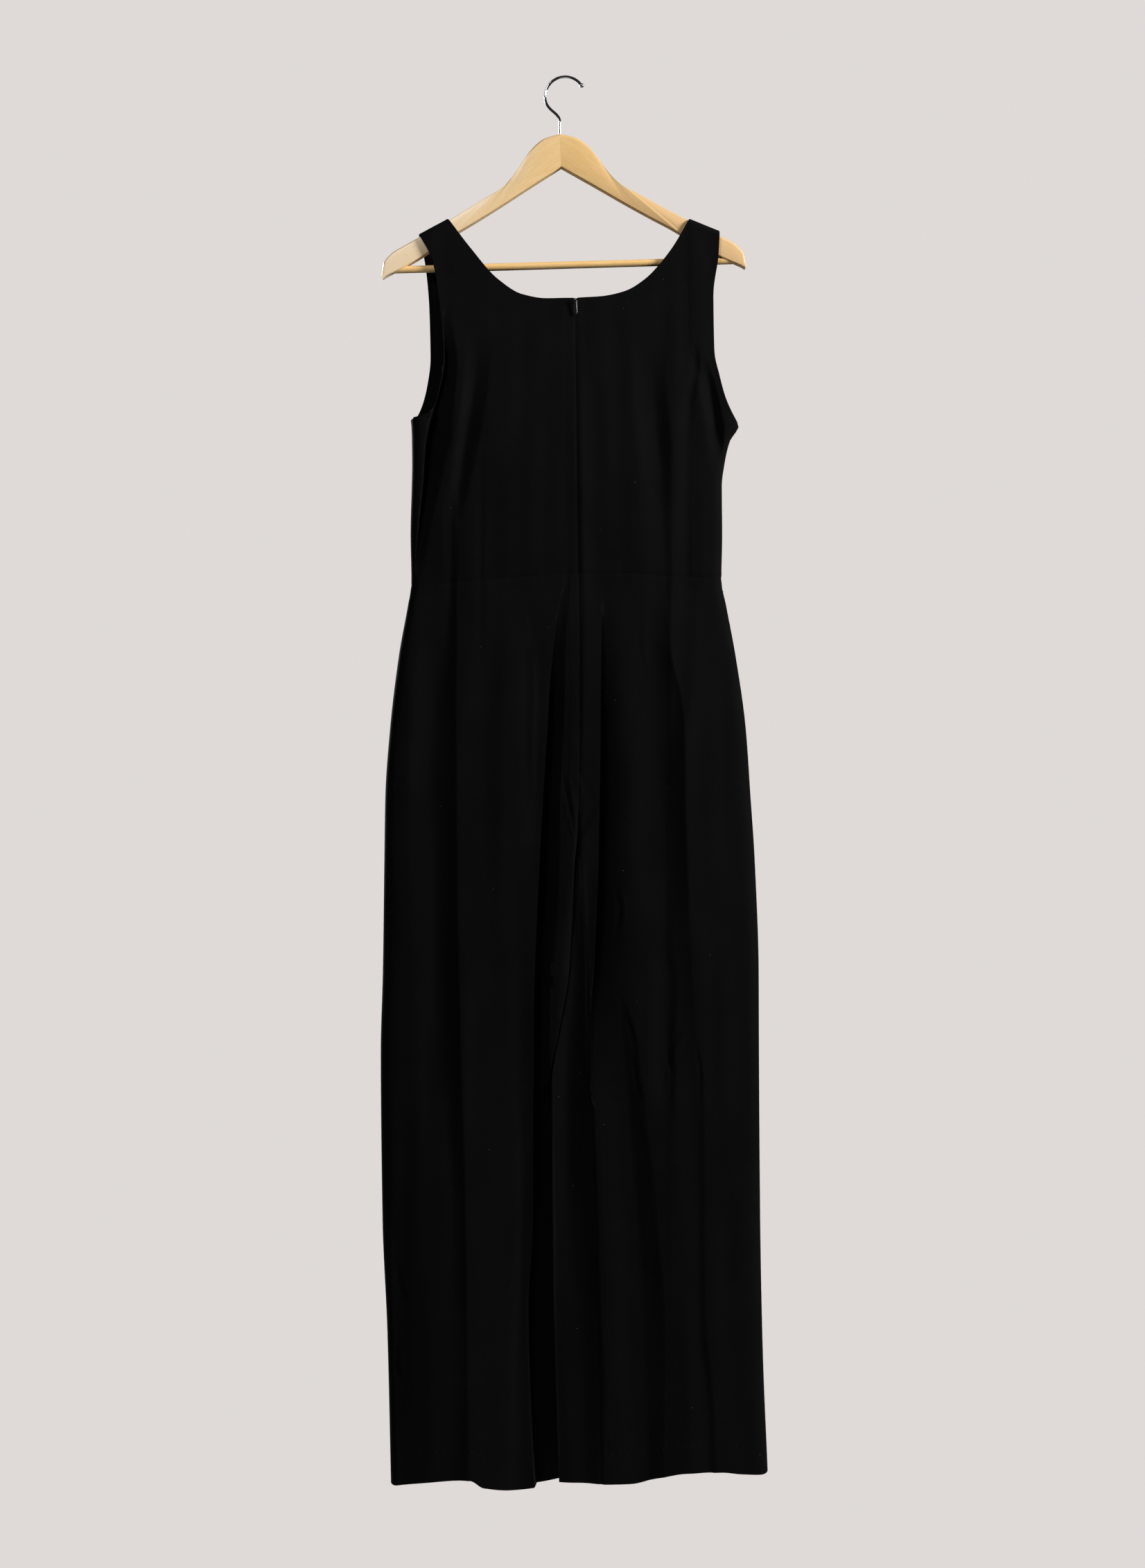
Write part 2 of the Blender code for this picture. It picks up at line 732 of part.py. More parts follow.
def share_normals(sheets):
    """Gives points that meet across a seam one direction, so that the walls' edges stay parallel."""
    owners = [(name, i) for name, (points, _, _) in sheets.items() for i in range(len(points))]
    tree = kdtree.KDTree(len(owners))
    for number, (name, i) in enumerate(owners):
        tree.insert(sheets[name][0][i], number)
    tree.balance()
    shared = {name: normals.copy() for name, (_, _, normals) in sheets.items()}
    for name, i in owners:
        near = [owners[number] for _, number, _ in tree.find_range(sheets[name][0][i], 2.2 * SEAM)]
        if any(other != name for other, _ in near):
            total = sum(sheets[other][2][j] for other, j in near)
            shared[name][i] = total / np.linalg.norm(total)
    return {name: (points, quads, shared[name]) for name, (points, quads, _) in sheets.items()}


def split(points, quads):
    """Two triangles for each quad, cut along its shorter diagonal."""
    a, b, c, d = quads.T
    first = np.linalg.norm(points[a] - points[c], axis=1) < np.linalg.norm(points[b] - points[d], axis=1)
    one = np.where(first[:, None], np.stack([a, b, c], axis=1), np.stack([a, b, d], axis=1))
    two = np.where(first[:, None], np.stack([a, c, d], axis=1), np.stack([b, c, d], axis=1))
    return np.concatenate([one, two])


def wall(points, quads, normals, thickness):
    """A closed wall from an open surface: its outer face, an inner face and rims along open edges.

    Both faces are cut into triangles the same way, so they stay a wall's thickness apart.
    """
    count = len(points)
    inside = points - normals * thickness
    edges = np.concatenate([quads[:, [i, (i + 1) % 4]] for i in range(4)])
    key = np.sort(edges, axis=1)
    _, where, times = np.unique(key, axis=0, return_inverse=True, return_counts=True)
    rim = edges[times[where.reshape(-1)] == 1]
    rims = np.stack([rim[:, 1], rim[:, 0], rim[:, 0] + count, rim[:, 1] + count], axis=1)
    outer = split(points, quads)
    faces = np.concatenate([outer, outer[:, ::-1] + count, rims[:, :3], rims[:, [0, 2, 3]]])
    return np.concatenate([points, inside]), faces


def principled(name, colour, roughness, metallic=0.0):
    """A material with a plain colour, from an sRGB hex value."""
    material = bpy.data.materials.new(name)
    material.use_nodes = True
    shader = material.node_tree.nodes["Principled BSDF"]
    channels = [int(colour[i : i + 2], 16) / 255 for i in (0, 2, 4)]
    linear = [c / 12.92 if c <= 0.04045 else ((c + 0.055) / 1.055) ** 2.4 for c in channels]
    shader.inputs["Base Color"].default_value = (*linear, 1)
    shader.inputs["Roughness"].default_value = roughness
    shader.inputs["Metallic"].default_value = metallic
    material.diffuse_color = (*linear, 1)
    return material


def add_mesh(name, points, faces, material, collection):
    """A mesh object from points in millimetres."""
    mesh = bpy.data.meshes.new(name)
    mesh.from_pydata((np.asarray(points) * MM).tolist(), [], [list(face) for face in faces])
    mesh.validate()
    obj = bpy.data.objects.new(name, mesh)
    if material:
        mesh.materials.append(material)
    collection.objects.link(obj)
    return obj


def shade(obj):
    """Smooth shading but for creases over 40 degrees."""
    obj.data.shade_smooth()
    obj.data.set_sharp_from_angle(angle=math.radians(40))


def make_cloth(collection, cloth, tape):
    """The seven cloth panels and the two zip tapes that lie behind the back panels' edges."""
    bodice = {(face, side): bodice_half(face, side) for face in (BACK, FRONT) for side in (LEFT, RIGHT)}
    legs = {(face, side): leg_panel(side, face) for face in (BACK, FRONT) for side in (LEFT, RIGHT)}
    turned = {key: (key[0] == BACK) != (key[1] == LEFT) for key in bodice}
    for side, hand in ((LEFT, "left"), (RIGHT, "right")):
        tape_surface = tape_grid(bodice[BACK, side], legs[BACK, side], side)
        points, quads = sheet([(tape_surface, turned[BACK, side])])
        normals = point_normals(points, quads)
        behind = points - normals * (CLOTH + SEAM)
        shade(add_mesh(f"zip_tape_{hand}", *wall(behind, quads, normals, TAPE), tape, collection))
    for key, grid in bodice.items():
        at_zip = key[0] == BACK
        bodice[key] = ease(grid, first_column=True, last_column=at_zip, first_row=True, last_row=True)
    for key, grid in legs.items():
        legs[key] = ease(grid, first_column=True, last_column=True, first_row=True)
    panels = {
        "back_bodice_left": [(bodice[BACK, LEFT], turned[BACK, LEFT])],
        "back_bodice_right": [(bodice[BACK, RIGHT], turned[BACK, RIGHT])],
        "front_bodice": [(bodice[FRONT, side], turned[FRONT, side]) for side in (LEFT, RIGHT)],
    }
    for face, word in ((BACK, "back"), (FRONT, "front")):
        for side, hand in ((LEFT, "left"), (RIGHT, "right")):
            panels[f"{word}_leg_{hand}"] = [(legs[face, side], turned[face, side])]
    sheets = {}
    for name, grids in panels.items():
        points, quads = sheet(grids)
        sheets[name] = (points, quads, point_normals(points, quads))
    for name, (points, quads, normals) in share_normals(sheets).items():
        shade(add_mesh(name, *wall(points, quads, normals, CLOTH), cloth, collection))


def tape_grid(bodice, leg, side):
    """A zip tape's two columns: the back panels' points beside the centre seam, notch to zip end."""
    notch_row = len(BEND_ROWS) + len(NECK_ROWS) - 1
    end_row = LEG_ROWS.index(ZIP_END)
    tape_column = -4 if side == LEFT else -2
    upper = bodice[notch_row:, [-2, -1]]
    lower = leg[1 : end_row + 1, [tape_column, -1]]
    return ease(np.concatenate([upper, lower]), last_column=True)


def half_ring(height, depth, rounded, segments=3):
    """A rounded rectangle's outline, as (along height, along depth), turning from the top."""
    turn = np.linspace(0, math.pi / 2, segments + 1)
    corner_h = (height / 2 - rounded) + rounded * np.cos(turn)
    corner_d = (depth / 2 - rounded) + rounded * np.sin(turn)
    h = np.concatenate([corner_h, -corner_h[::-1], -corner_h, corner_h[::-1]])
    d = np.concatenate([corner_d, corner_d[::-1], -corner_d, -corner_d[::-1]])
    return h, d


def hanger_placing(hanger):
    """The turn and shift that take the hanger's own frame to the garment's."""
    shift = Matrix.Translation(Vector((hanger.apex_x, 0, hanger.apex_z)) * MM)
    return shift @ Matrix.Rotation(-math.radians(hanger.roll_deg), 4, "Y")


def make_arm(name, side, hanger, material, collection, cutters):
    """One wooden arm: rounded sections carried from the joint in the head to the tip."""
    t = np.linspace(0, len(hanger.top) - 1, 20)
    top_x, top_z = along(hanger.top, t)
    low_x, low_z = along(hanger.underside, t)
    rings = []
    for ux, uz, lx, lz in zip(top_x, top_z, low_x, low_z):
        height = math.hypot(ux - lx, uz - lz)
        rounded = min(hanger.rounding, 0.45 * height)
        h, d = half_ring(height, hanger.depth, rounded)
        middle_x, middle_z = (ux + lx) / 2, (uz + lz) / 2
        ring_x = middle_x + (ux - lx) / height * h
        ring_z = middle_z + (uz - lz) / height * h
        rings.append(np.stack([ring_x, d, ring_z], axis=1))
    rings = np.array(rings)
    rings[0, :, 0] = SEAM / 2
    rings[:, :, 0] *= side
    count = rings.shape[1]
    index = np.arange(rings.shape[0] * count).reshape(-1, count)
    after = np.roll(index, -1, axis=1)
    faces = np.stack([index[:-1], after[:-1], after[1:], index[1:]], axis=2).reshape(-1, 4)
    faces = [list(face) for face in faces] + [list(index[0][::-1]), list(index[-1])]
    obj = add_mesh(name, rings.reshape(-1, 3), faces, material, collection)
    outwards(obj)
    obj.matrix_world = hanger_placing(hanger)
    for cutter in cutters:
        cut = obj.modifiers.new(cutter.name, "BOOLEAN")
        cut.operation = "DIFFERENCE"
        cut.object = cutter
    shade(obj)
    return obj


def outwards(obj):
    """Welds an object's mesh and turns its faces out."""
    mesh = bmesh.new()
    mesh.from_mesh(obj.data)
    bmesh.ops.remove_doubles(mesh, verts=mesh.verts, dist=0.00001)
    bmesh.ops.recalc_face_normals(mesh, faces=mesh.faces)
    mesh.to_mesh(obj.data)
    mesh.free()


def make_rod(name, start, end, radius, sides, material, collection):
    """A round rod between two points, in millimetres."""
    mesh = bpy.data.meshes.new(name)
    build = bmesh.new()
    length = (Vector(end) - Vector(start)).length
    bmesh.ops.create_cone(
        build, cap_ends=True, segments=sides, radius1=radius * MM, radius2=radius * MM, depth=length * MM
    )
    build.to_mesh(mesh)
    build.free()
    obj = bpy.data.objects.new(name, mesh)
    if material:
        mesh.materials.append(material)
    direction = (Vector(end) - Vector(start)).normalized()
    turn = direction.to_track_quat("Z", "Y").to_matrix().to_4x4()
    obj.matrix_world = Matrix.Translation((Vector(start) + Vector(end)) / 2 * MM) @ turn
    collection.objects.link(obj)
    return obj


def as_helper(obj):
    """Keeps a cutter or guide out of the part."""
    obj.hide_render = True
    obj.display_type = "WIRE"
    return obj


def make_hanger(hanger, hook, wood, bar_wood, chrome, collection, helpers):
    """The two arms, the trouser bar let into their tips and the hook let into the head."""
    place = hanger_placing(hanger)
    reach, drop = hanger.bar_reach, -hanger.bar_drop
    play = hanger.socket_play
    ends = ((-reach - play, 0, drop), (reach + play, 0, drop))
    socket = make_rod("socket", *ends, hanger.bar_radius + play, 20, None, helpers)
    socket.matrix_world = place @ socket.matrix_world
    shank_x = hanger.apex_x
    shank_end = hanger.apex_z - hanger.shank_depth
    ends = ((shank_x, 0, shank_end - play), (shank_x, 0, hanger.apex_z + 8))
    hole = make_rod("shank_hole", *ends, hook.wire + play, 16, None, helpers)
    cutters = [as_helper(socket), as_helper(hole)]
    for name, side in (("hanger_arm_left", LEFT), ("hanger_arm_right", RIGHT)):
        make_arm(name, side, hanger, wood, collection, cutters)
    ends = ((-reach, 0, drop), (reach, 0, drop))
    bar = make_rod("hanger_bar", *ends, hanger.bar_radius, 20, bar_wood, collection)
    bar.matrix_world = place @ bar.matrix_world
    shade(bar)
    make_hook(hook, shank_x, shank_end, chrome, collection, helpers)


def make_wire(name, route, radius, material, collection):
    """A round wire along a route in millimetres, as a mesh with welded caps."""
    curve = bpy.data.curves.new(name, "CURVE")
    curve.dimensions = "3D"
    curve.bevel_depth = radius * MM
    curve.bevel_resolution = 2
    curve.use_fill_caps = True
    line = curve.splines.new("POLY")
    line.points.add(len(route) - 1)
    for point, place in zip(line.points, route):
        point.co = (*(Vector(place) * MM), 1)
    wire = bpy.data.objects.new(name, curve)
    collection.objects.link(wire)
    graph = bpy.context.evaluated_depsgraph_get()
    mesh = bpy.data.meshes.new_from_object(wire.evaluated_get(graph))
    bpy.data.objects.remove(wire)
    obj = bpy.data.objects.new(name, mesh)
    collection.objects.link(obj)
    outwards(obj)
    mesh.materials.clear()
    mesh.materials.append(material)
    return obj


def join(obj, other):
    """Makes another object part of this one."""
    union = obj.modifiers.new(other.name, "BOOLEAN")
    union.operation = "UNION"
    union.object = as_helper(other)


def make_hook(hook, shank_x, shank_end, chrome, collection, helpers):
    """The wire: up from the head, out to the left, round over the rail and down to a ball tip."""
    centre_z = -(hook.radius - hook.wire)
    turn = np.radians(np.linspace(196, hook.tip_deg, 22))
    ring = np.stack([hook.radius * np.cos(turn), 0 * turn, centre_z + hook.radius * np.sin(turn)], axis=1)
    bend = [(0, shank_end), (0, -53.5), (-1.0, -49.5), (-3.4, -46.0), (-13.4, -33.6)]
    route = [(shank_x + x, 0, z) for x, z in bend] + [tuple(point) for point in ring]
    wire = make_wire("hanger_hook", route, hook.wire, chrome, collection)
    ball = bpy.data.meshes.new("hook_ball")
    build = bmesh.new()
    bmesh.ops.create_uvsphere(build, u_segments=12, v_segments=8, radius=hook.ball * MM)
    build.to_mesh(ball)
    build.free()
    tip = bpy.data.objects.new("hook_ball", ball)
    tip.location = Vector(route[-1]) * MM
    helpers.objects.link(tip)
    join(wire, tip)
    shade(wire)


def make_slider(slider, metal, collection, helpers):
    """The slider's body behind the cloth and the bridge that the pull hangs from."""
    mesh = bpy.data.meshes.new("zip_slider")
    build = bmesh.new()
    bmesh.ops.create_cube(build, size=MM)
    height = slider.top - slider.foot
    bmesh.ops.scale(build, vec=(slider.width, slider.depth, height), verts=build.verts)
    build.to_mesh(mesh)
    build.free()
    mesh.materials.append(metal)
    body = bpy.data.objects.new("zip_slider", mesh)
    middle = (slider.top + slider.foot) / 2
    body.location = Vector((NOTCH_FOOT[0], slider.front + slider.depth / 2, middle)) * MM
    collection.objects.link(body)
    rounded = body.modifiers.new("rounded", "BEVEL")
    rounded.width = slider.bevel * MM
    rounded.segments = 2
    turn = np.radians(np.linspace(90, -90, 11))
    loop_y = slider.axis_y - slider.bridge_radius * np.cos(turn)
    loop_z = slider.axis_z + slider.bridge_radius * np.sin(turn)
    inside = slider.front + slider.depth / 2
    route = [(inside, loop_z[0]), *zip(loop_y, loop_z), (inside, loop_z[-1])]
    places = [(NOTCH_FOOT[0], y, z) for y, z in route]
    join(body, make_wire("slider_bridge", places, slider.bridge_wire, metal, helpers))
    shade(body)


def make_pull(pull, slider, metal, collection):
    """The pull tab, a flat outline with a slot, its origin on the axis it swings about."""
    turn = np.radians(np.linspace(0, -180, 13))
    end_x = pull.end_half * np.cos(turn)
    end_z = pull.end_centre + pull.end_half * np.sin(turn)
    corner = pull.top_half - pull.top
    outline = [(-pull.top_half, 0), (-corner, pull.top), (corner, pull.top), (pull.top_half, 0)]
    outline += [(pull.top_half, pull.slot_foot), *zip(end_x, end_z), (-pull.top_half, pull.slot_foot)]
    half = pull.slot_half
    slot = [(-half, pull.bar_foot), (half, pull.bar_foot), (half, pull.slot_foot), (-half, pull.slot_foot)]
    curve = bpy.data.curves.new("zip_pull", "CURVE")
    curve.dimensions = "2D"
    curve.fill_mode = "BOTH"
    curve.extrude = pull.thickness / 2 * MM
    for ring in (outline, slot):
        line = curve.splines.new("POLY")
        line.points.add(len(ring) - 1)
        line.use_cyclic_u = True
        for point, (x, z) in zip(line.points, ring):
            point.co = (x * MM, z * MM, 0, 1)
    curve.materials.append(metal)
    obj = bpy.data.objects.new("zip_pull", curve)
    obj.location = Vector((NOTCH_FOOT[0], slider.axis_y, slider.axis_z)) * MM
    obj.rotation_euler = (math.pi / 2, 0, 0)
    collection.objects.link(obj)


def main():
    """Builds every piece in a collection named for the object."""
    for obj in list(bpy.data.objects):
        bpy.data.objects.remove(obj)
    collection = bpy.data.collections.new(GARMENT)
    helpers = bpy.data.collections.new("cutters")
    for group in (collection, helpers):
        bpy.context.scene.collection.children.link(group)
    cloth = principled("black_crepe", "141314", 0.85)
    wood = principled("beech_lacquered", "E6CDA6", 0.45)
    bar_wood = principled("beech_bar", "E6BC78", 0.5)
    chrome = principled("chrome_wire", "C8C8CC", 0.12, 1.0)
    tape = principled("zip_tape", "121113", 0.8)
    metal = principled("zip_lacquered", "1C1B1E", 0.4, 0.6)
    make_cloth(collection, cloth, tape)
    make_slider(Slider(), metal, collection, helpers)
    make_pull(Pull(), Slider(), metal, collection)
    make_hanger(Hanger(), Hook(), wood, bar_wood, chrome, collection, helpers)


main()
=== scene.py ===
"""A sleeveless crepe jumpsuit with a zip at centre back, hanging flat on a wooden hanger.

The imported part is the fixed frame. Sizes and tables are in millimetres in that frame: +Z is up, the
garment's back with its zip faces -Y, +X is the right of that back, and the origin is the inner top of
the hook. MM turns them to metres where a mesh is made.
"""

import logging
import math
from dataclasses import dataclass, field
from enum import Enum, IntEnum

import bpy
import numpy as np
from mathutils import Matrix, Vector


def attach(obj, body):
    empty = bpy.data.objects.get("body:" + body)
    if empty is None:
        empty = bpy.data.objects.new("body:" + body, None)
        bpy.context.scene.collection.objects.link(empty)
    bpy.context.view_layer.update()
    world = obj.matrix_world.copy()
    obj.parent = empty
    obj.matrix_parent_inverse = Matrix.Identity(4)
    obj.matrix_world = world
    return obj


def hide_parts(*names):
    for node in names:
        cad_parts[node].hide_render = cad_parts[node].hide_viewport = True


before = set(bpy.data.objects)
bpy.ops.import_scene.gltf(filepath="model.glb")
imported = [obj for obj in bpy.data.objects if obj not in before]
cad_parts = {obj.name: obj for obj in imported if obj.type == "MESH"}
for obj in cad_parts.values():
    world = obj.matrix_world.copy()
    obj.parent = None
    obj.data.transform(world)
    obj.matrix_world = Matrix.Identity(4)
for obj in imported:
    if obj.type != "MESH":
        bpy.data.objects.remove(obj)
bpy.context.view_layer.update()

log = logging.getLogger("jumpsuit")

MM = 0.001
GARMENT = "garment"
PULL = "pull"
CLOTH = 1.0  # the crepe with its turned edges evened out
SEAM = 0.06  # gap between pieces that the thread pulls together
LEAST_DEPTH = 2.0  # what is left of half the depth where folds meet
LEAST_SPACING = 1.6  # between key columns where folds meet

Array = np.ndarray
Table = tuple[tuple[float, float], ...]


class Face(IntEnum):
    """The two layers of the hanging garment, by the direction in which each faces along Y."""

    BACK = -1
    FRONT = 1


class Side(IntEnum):
    """The two sides of the garment, by their direction along X."""

    LEFT = -1
    RIGHT = 1

    @property
    def word(self) -> str:
        """The side's name as the nodes spell it."""
        return self.name.lower()


# ---------------------------------------------------------------- curves and tables


def smooth(stations: Array, values: Array, at: Array) -> Array:
    """Reads a curve through a table: cubic pieces whose tangents never let it overshoot the table.

    Args:
        stations: where the table gives values.
        values: the values there.
        at: where the curve is read; past the table's ends it stays level.

    Returns:
        The curve's values, in the shape of at.
    """
    order = np.argsort(stations)
    x, y = np.asarray(stations, float)[order], np.asarray(values, float)[order]
    step = np.diff(x)
    slope = np.diff(y) / step
    product = slope[1:] * slope[:-1]
    total = np.where(product > 0, slope[1:] + slope[:-1], 1.0)
    inner = np.where(product > 0, 2 * product / total, 0.0)
    tangent = np.concatenate(([slope[0]], inner, [slope[-1]]))
    k = np.clip(np.searchsorted(x, at) - 1, 0, len(step) - 1)
    t = np.clip((at - x[k]) / step[k], 0, 1)
    rise = t * t * (3 - 2 * t)
    lead = t * (1 - t) * ((1 - t) * tangent[k] - t * tangent[k + 1]) * step[k]
    return y[k] + (y[k + 1] - y[k]) * rise + lead


def read(table: Table | float, at: Array) -> Array:
    """Reads a table as a smooth curve, or one number as a level one.

    Args:
        table: (station, value) pairs, or the one value.
        at: the stations at which it is read.

    Returns:
        The values, in the shape of at.
    """
    if isinstance(table, (int, float)):
        return np.full(np.shape(at), float(table))
    stations, values = zip(*table)
    return smooth(np.array(stations), np.array(values), at)


def along(points: Table, t: Array) -> tuple[Array, Array]:
    """Reads a curve through points.

    Args:
        points: its (x, z) points.
        t: places on it, which count the points from 0.

    Returns:
        The x and z at those places.
    """
    index = np.arange(len(points))
    x, z = (smooth(index, np.array(values), t) for values in zip(*points))
    return x, z


def slope_up(away: Array, bank: Array | float) -> Array:
    """Rises smoothly from 0 to 1 as away goes from 0 to bank: 3t^2 - 2t^3."""
    t = np.clip(away / bank, 0, 1)
    return t * t * (3 - 2 * t)


def rounding(x: Array, low: Array, high: Array, powers: tuple[int, int]) -> Array:
    """How a level section turns at its two edges: (1 - |c|^p)^(1/2), where c runs from -1 to 1.

    Args:
        x: where it is read.
        low: the section's left edge.
        high: its right edge.
        powers: p of its left and right half; the higher, the more squarely it turns.

    Returns:
        1 on the section's flat, falling to 0 at its edges.
    """
    across = np.clip((2 * x - low - high) / (high - low), -1, 1)
    return np.sqrt(1 - np.abs(across) ** np.where(across < 0, *powers))


def unit(vectors: Array) -> Array:
    """The vectors at length 1."""
    return vectors / np.maximum(np.linalg.norm(vectors, axis=-1, keepdims=True), 1e-9)


def run_along(path: Array) -> Array:
    """How far along a path of points each of them is."""
    return np.concatenate(([0.0], np.cumsum(np.linalg.norm(np.diff(path, axis=0), axis=1))))


# ---------------------------------------------------------------- the garment's tables


@dataclass(frozen=True)
class Section:
    """A level section of the whole garment: its left and right edges and half its depth."""

    z: float
    left: float
    right: float
    depth: float


@dataclass(frozen=True)
class LegSection:
    """How the two legs meet at a height below the crotch: the left leg tucks behind the right leg's
    inner fold. dive is where the left leg's back goes under, and tuck how far both are pressed in."""

    z: float
    left_in: float
    left_y: float
    right_in: float
    right_y: float
    inseam: float
    dive: float
    tuck: float


def read_column(table: tuple, name: str, z: Array) -> Array:
    """Reads a named column of a table of sections at the heights z."""
    heights = np.array([row.z for row in table])
    return smooth(heights, np.array([getattr(row, name) for row in table]), z)


SECTIONS = (  # above the underarms the edges are those the cloth would reach without armholes
    Section(-165, -300, 300, 10),
    Section(-240, -270, 285, 11),
    Section(-300, -240, 262, 15),
    Section(-360, -212, 240, 19.5),
    Section(-400, -196, 222, 22.5),
    Section(-418, -189, 214, 23.5),
    Section(-428, -188, 212, 24),
    Section(-445, -187.3, 201.5, 24.5),
    Section(-475, -187, 194.5, 25),
    Section(-500, -187.5, 191.5, 25),
    Section(-560, -189, 192, 23.5),
    Section(-616, -188, 191, 22),
    Section(-646, -192.5, 196.7, 23),
    Section(-710, -203.5, 208.6, 26),
    Section(-795, -213.7, 220.5, 28.5),
    Section(-879, -219.6, 226.4, 29.5),
    Section(-956, -220.8, 231.5, 30),
    Section(-1091, -222.6, 236.4, 30),
    Section(-1193, -225.2, 236.8, 30),
    Section(-1397, -223, 238.3, 30),
    Section(-1532, -217.1, 240.8, 31),
    Section(-1720, -212.5, 247.6, 32),
)
LEGS = (
    LegSection(-935, 15.7, -20.5, 15, -18.6, 15.2, 11.5, 0),
    LegSection(-941, 15.5, -18.5, 14.7, -19.5, 16, 11.3, 1),
    LegSection(-948, 15.1, -16, 14.25, -21, 17.4, 11, 3),
    LegSection(-960, 14.9, -12, 13.4, -23, 18.8, 10.8, 8),
    LegSection(-985, 15, -2, 12, -25, 21, 10, 18),
    LegSection(-1040, 14, 8, 9.4, -25, 23.9, 7.4, 24),
    LegSection(-1099, 11, 12, 5, -23, 26, 3.2, 27),
    LegSection(-1159, 9, 12, -5.5, -22, 28, -7.5, 27),
    LegSection(-1200, 8.3, 12, -13, -23, 30, -15.5, 27),
    LegSection(-1222, 8.2, 12, -16, -24, 31, -19, 27),
    LegSection(-1262, 8, 12, -15.8, -24, 32.5, -31, 27),
    LegSection(-1310, 7.7, 12, -15.5, -24, 34, -38.5, 27),
    LegSection(-1400, 7.1, 12, -14.8, -24, 37.4, -40, 27),
    LegSection(-1500, 6.8, 12, -13.5, -24, 40, -46, 27),
    LegSection(-1600, 6.4, 12, -10.8, -24, 42, -44, 27),
    LegSection(-1720, 6, 12, -7, -24, 44.1, -37, 28),
)
WAIST_ROUNDING = 90.0  # height over which the rows below the waist seam straighten out
HEM_ROUNDING = 120.0  # the same above the hem
SHOULDER_BEND = 8.0  # height over which a strap bends over the hanger
STRAPS_FROM = 60.0  # a strap is further out than this
LEGS_FROM = -640.0  # height where the hips' section starts to fill out to that of two legs
CROTCH = -935.0
CROTCH_CURVE = 60.0  # height over which the rise seams swing round to the crotch point
DIVE_BANK = 5.0  # width over which the left leg's back drops where it goes under the right leg
BODICE_POWERS = (48, 48)  # how squarely the sections turn at the bodice's two side seams
SIDE_POWER = 24  # the same at the legs' side seams
INNER_POWER = {Face.BACK: 60, Face.FRONT: 4}  # and at the legs' inner edges
THINNING = 0.25  # how much thinner the garment hangs at its sides than in its middle
THIN_WIDTH = 95.0
THIN_FROM, THIN_FADE = -350.0, 150.0  # the height from which it thins, and over which that sets in
TOE_STEP = 4.0  # the right leg's front steps in this far outside the left leg's inner edge
TOE_BANK = 26.0
TOE_EXTRA = 7.0  # how much further than the tuck the right leg's front is pressed in
ZIP_END = -790.0
TAPE_WIDTH = 11.0
TAPE = 0.6

CENTRE: dict[Face, Table] = {
    Face.BACK: (
        (-272, 12.5), (-303, 12.7), (-566, 15.3), (-661, 17.2), (-752, 18.6), (-880, 16.4), (-935, 15.3),
    ),
    Face.FRONT: ((-270, 12), (-620, 13), (-880, 12.6), (-935, 12)),
}
WAIST: Table = ((-188, -622.5), (-89, -616), (15, -608.5), (63, -608), (127, -611), (190, -614))
HEMS: dict[Side, Table] = {
    Side.LEFT: (
        (-213, -1716), (-150, -1708), (-115, -1706), (-98, -1716), (-58, -1720.5), (-30, -1717),
        (6, -1709.5),
    ),
    Side.RIGHT: (
        (-8, -1710), (80, -1711), (115, -1703), (150, -1697), (190, -1697), (215, -1700), (248, -1702),
    ),
}
SHOULDERS = {Side.LEFT: (-178.9, -191.7), Side.RIGHT: (188.3, -187.4)}
NECK_POINTS = {Side.LEFT: (-144.2, -173.0), Side.RIGHT: (152.6, -172.9)}
SHOULDER_SLOPES = {Side.LEFT: 0.539, Side.RIGHT: -0.406}
NOTCH_FOOT = (12.5, -284.0)  # the foot of the small V where the zip opens
ARMHOLES: dict[tuple[Face, Side], Table] = {
    (Face.BACK, Side.LEFT): (
        SHOULDERS[Side.LEFT], (-161, -227.5), (-152, -284), (-147.3, -345), (-150.5, -386),
        (-158, -407.5), (-171, -416), (-189, -420),
    ),
    (Face.BACK, Side.RIGHT): (
        SHOULDERS[Side.RIGHT], (186.5, -220), (180.2, -270), (181, -335), (187, -367), (194.5, -395),
        (203, -414), (212, -428),
    ),
    (Face.FRONT, Side.LEFT): (
        SHOULDERS[Side.LEFT], (-170.5, -233), (-166.5, -284), (-165.5, -338), (-169.5, -372),
        (-175.5, -396), (-182, -411), (-189, -420),
    ),
    (Face.FRONT, Side.RIGHT): (
        SHOULDERS[Side.RIGHT], (182, -225), (174.5, -275), (174, -335), (180, -367), (189, -395),
        (200, -414), (212, -428),
    ),
}
NECKLINES: dict[tuple[Face, Side], Table] = {
    (Face.BACK, Side.LEFT): (
        NECK_POINTS[Side.LEFT], (-114.5, -212), (-83, -248), (-52.6, -267.5), (-24, -272.5),
        (10.4, -272.2), NOTCH_FOOT,
    ),
    (Face.BACK, Side.RIGHT): (
        NECK_POINTS[Side.RIGHT], (129.7, -212), (98.4, -248), (72, -264), (42, -270.5), (14.8, -272.2),
        NOTCH_FOOT,
    ),
    (Face.FRONT, Side.LEFT): (
        NECK_POINTS[Side.LEFT], (-124, -212), (-96, -252), (-66, -276), (-38, -286.5), (-13, -290.5),
        (12, -291.5),
    ),
    (Face.FRONT, Side.RIGHT): (
        NECK_POINTS[Side.RIGHT], (134, -212), (110, -252), (84, -276), (58, -286.5), (35, -290.5),
        (12, -291.5),
    ),
}
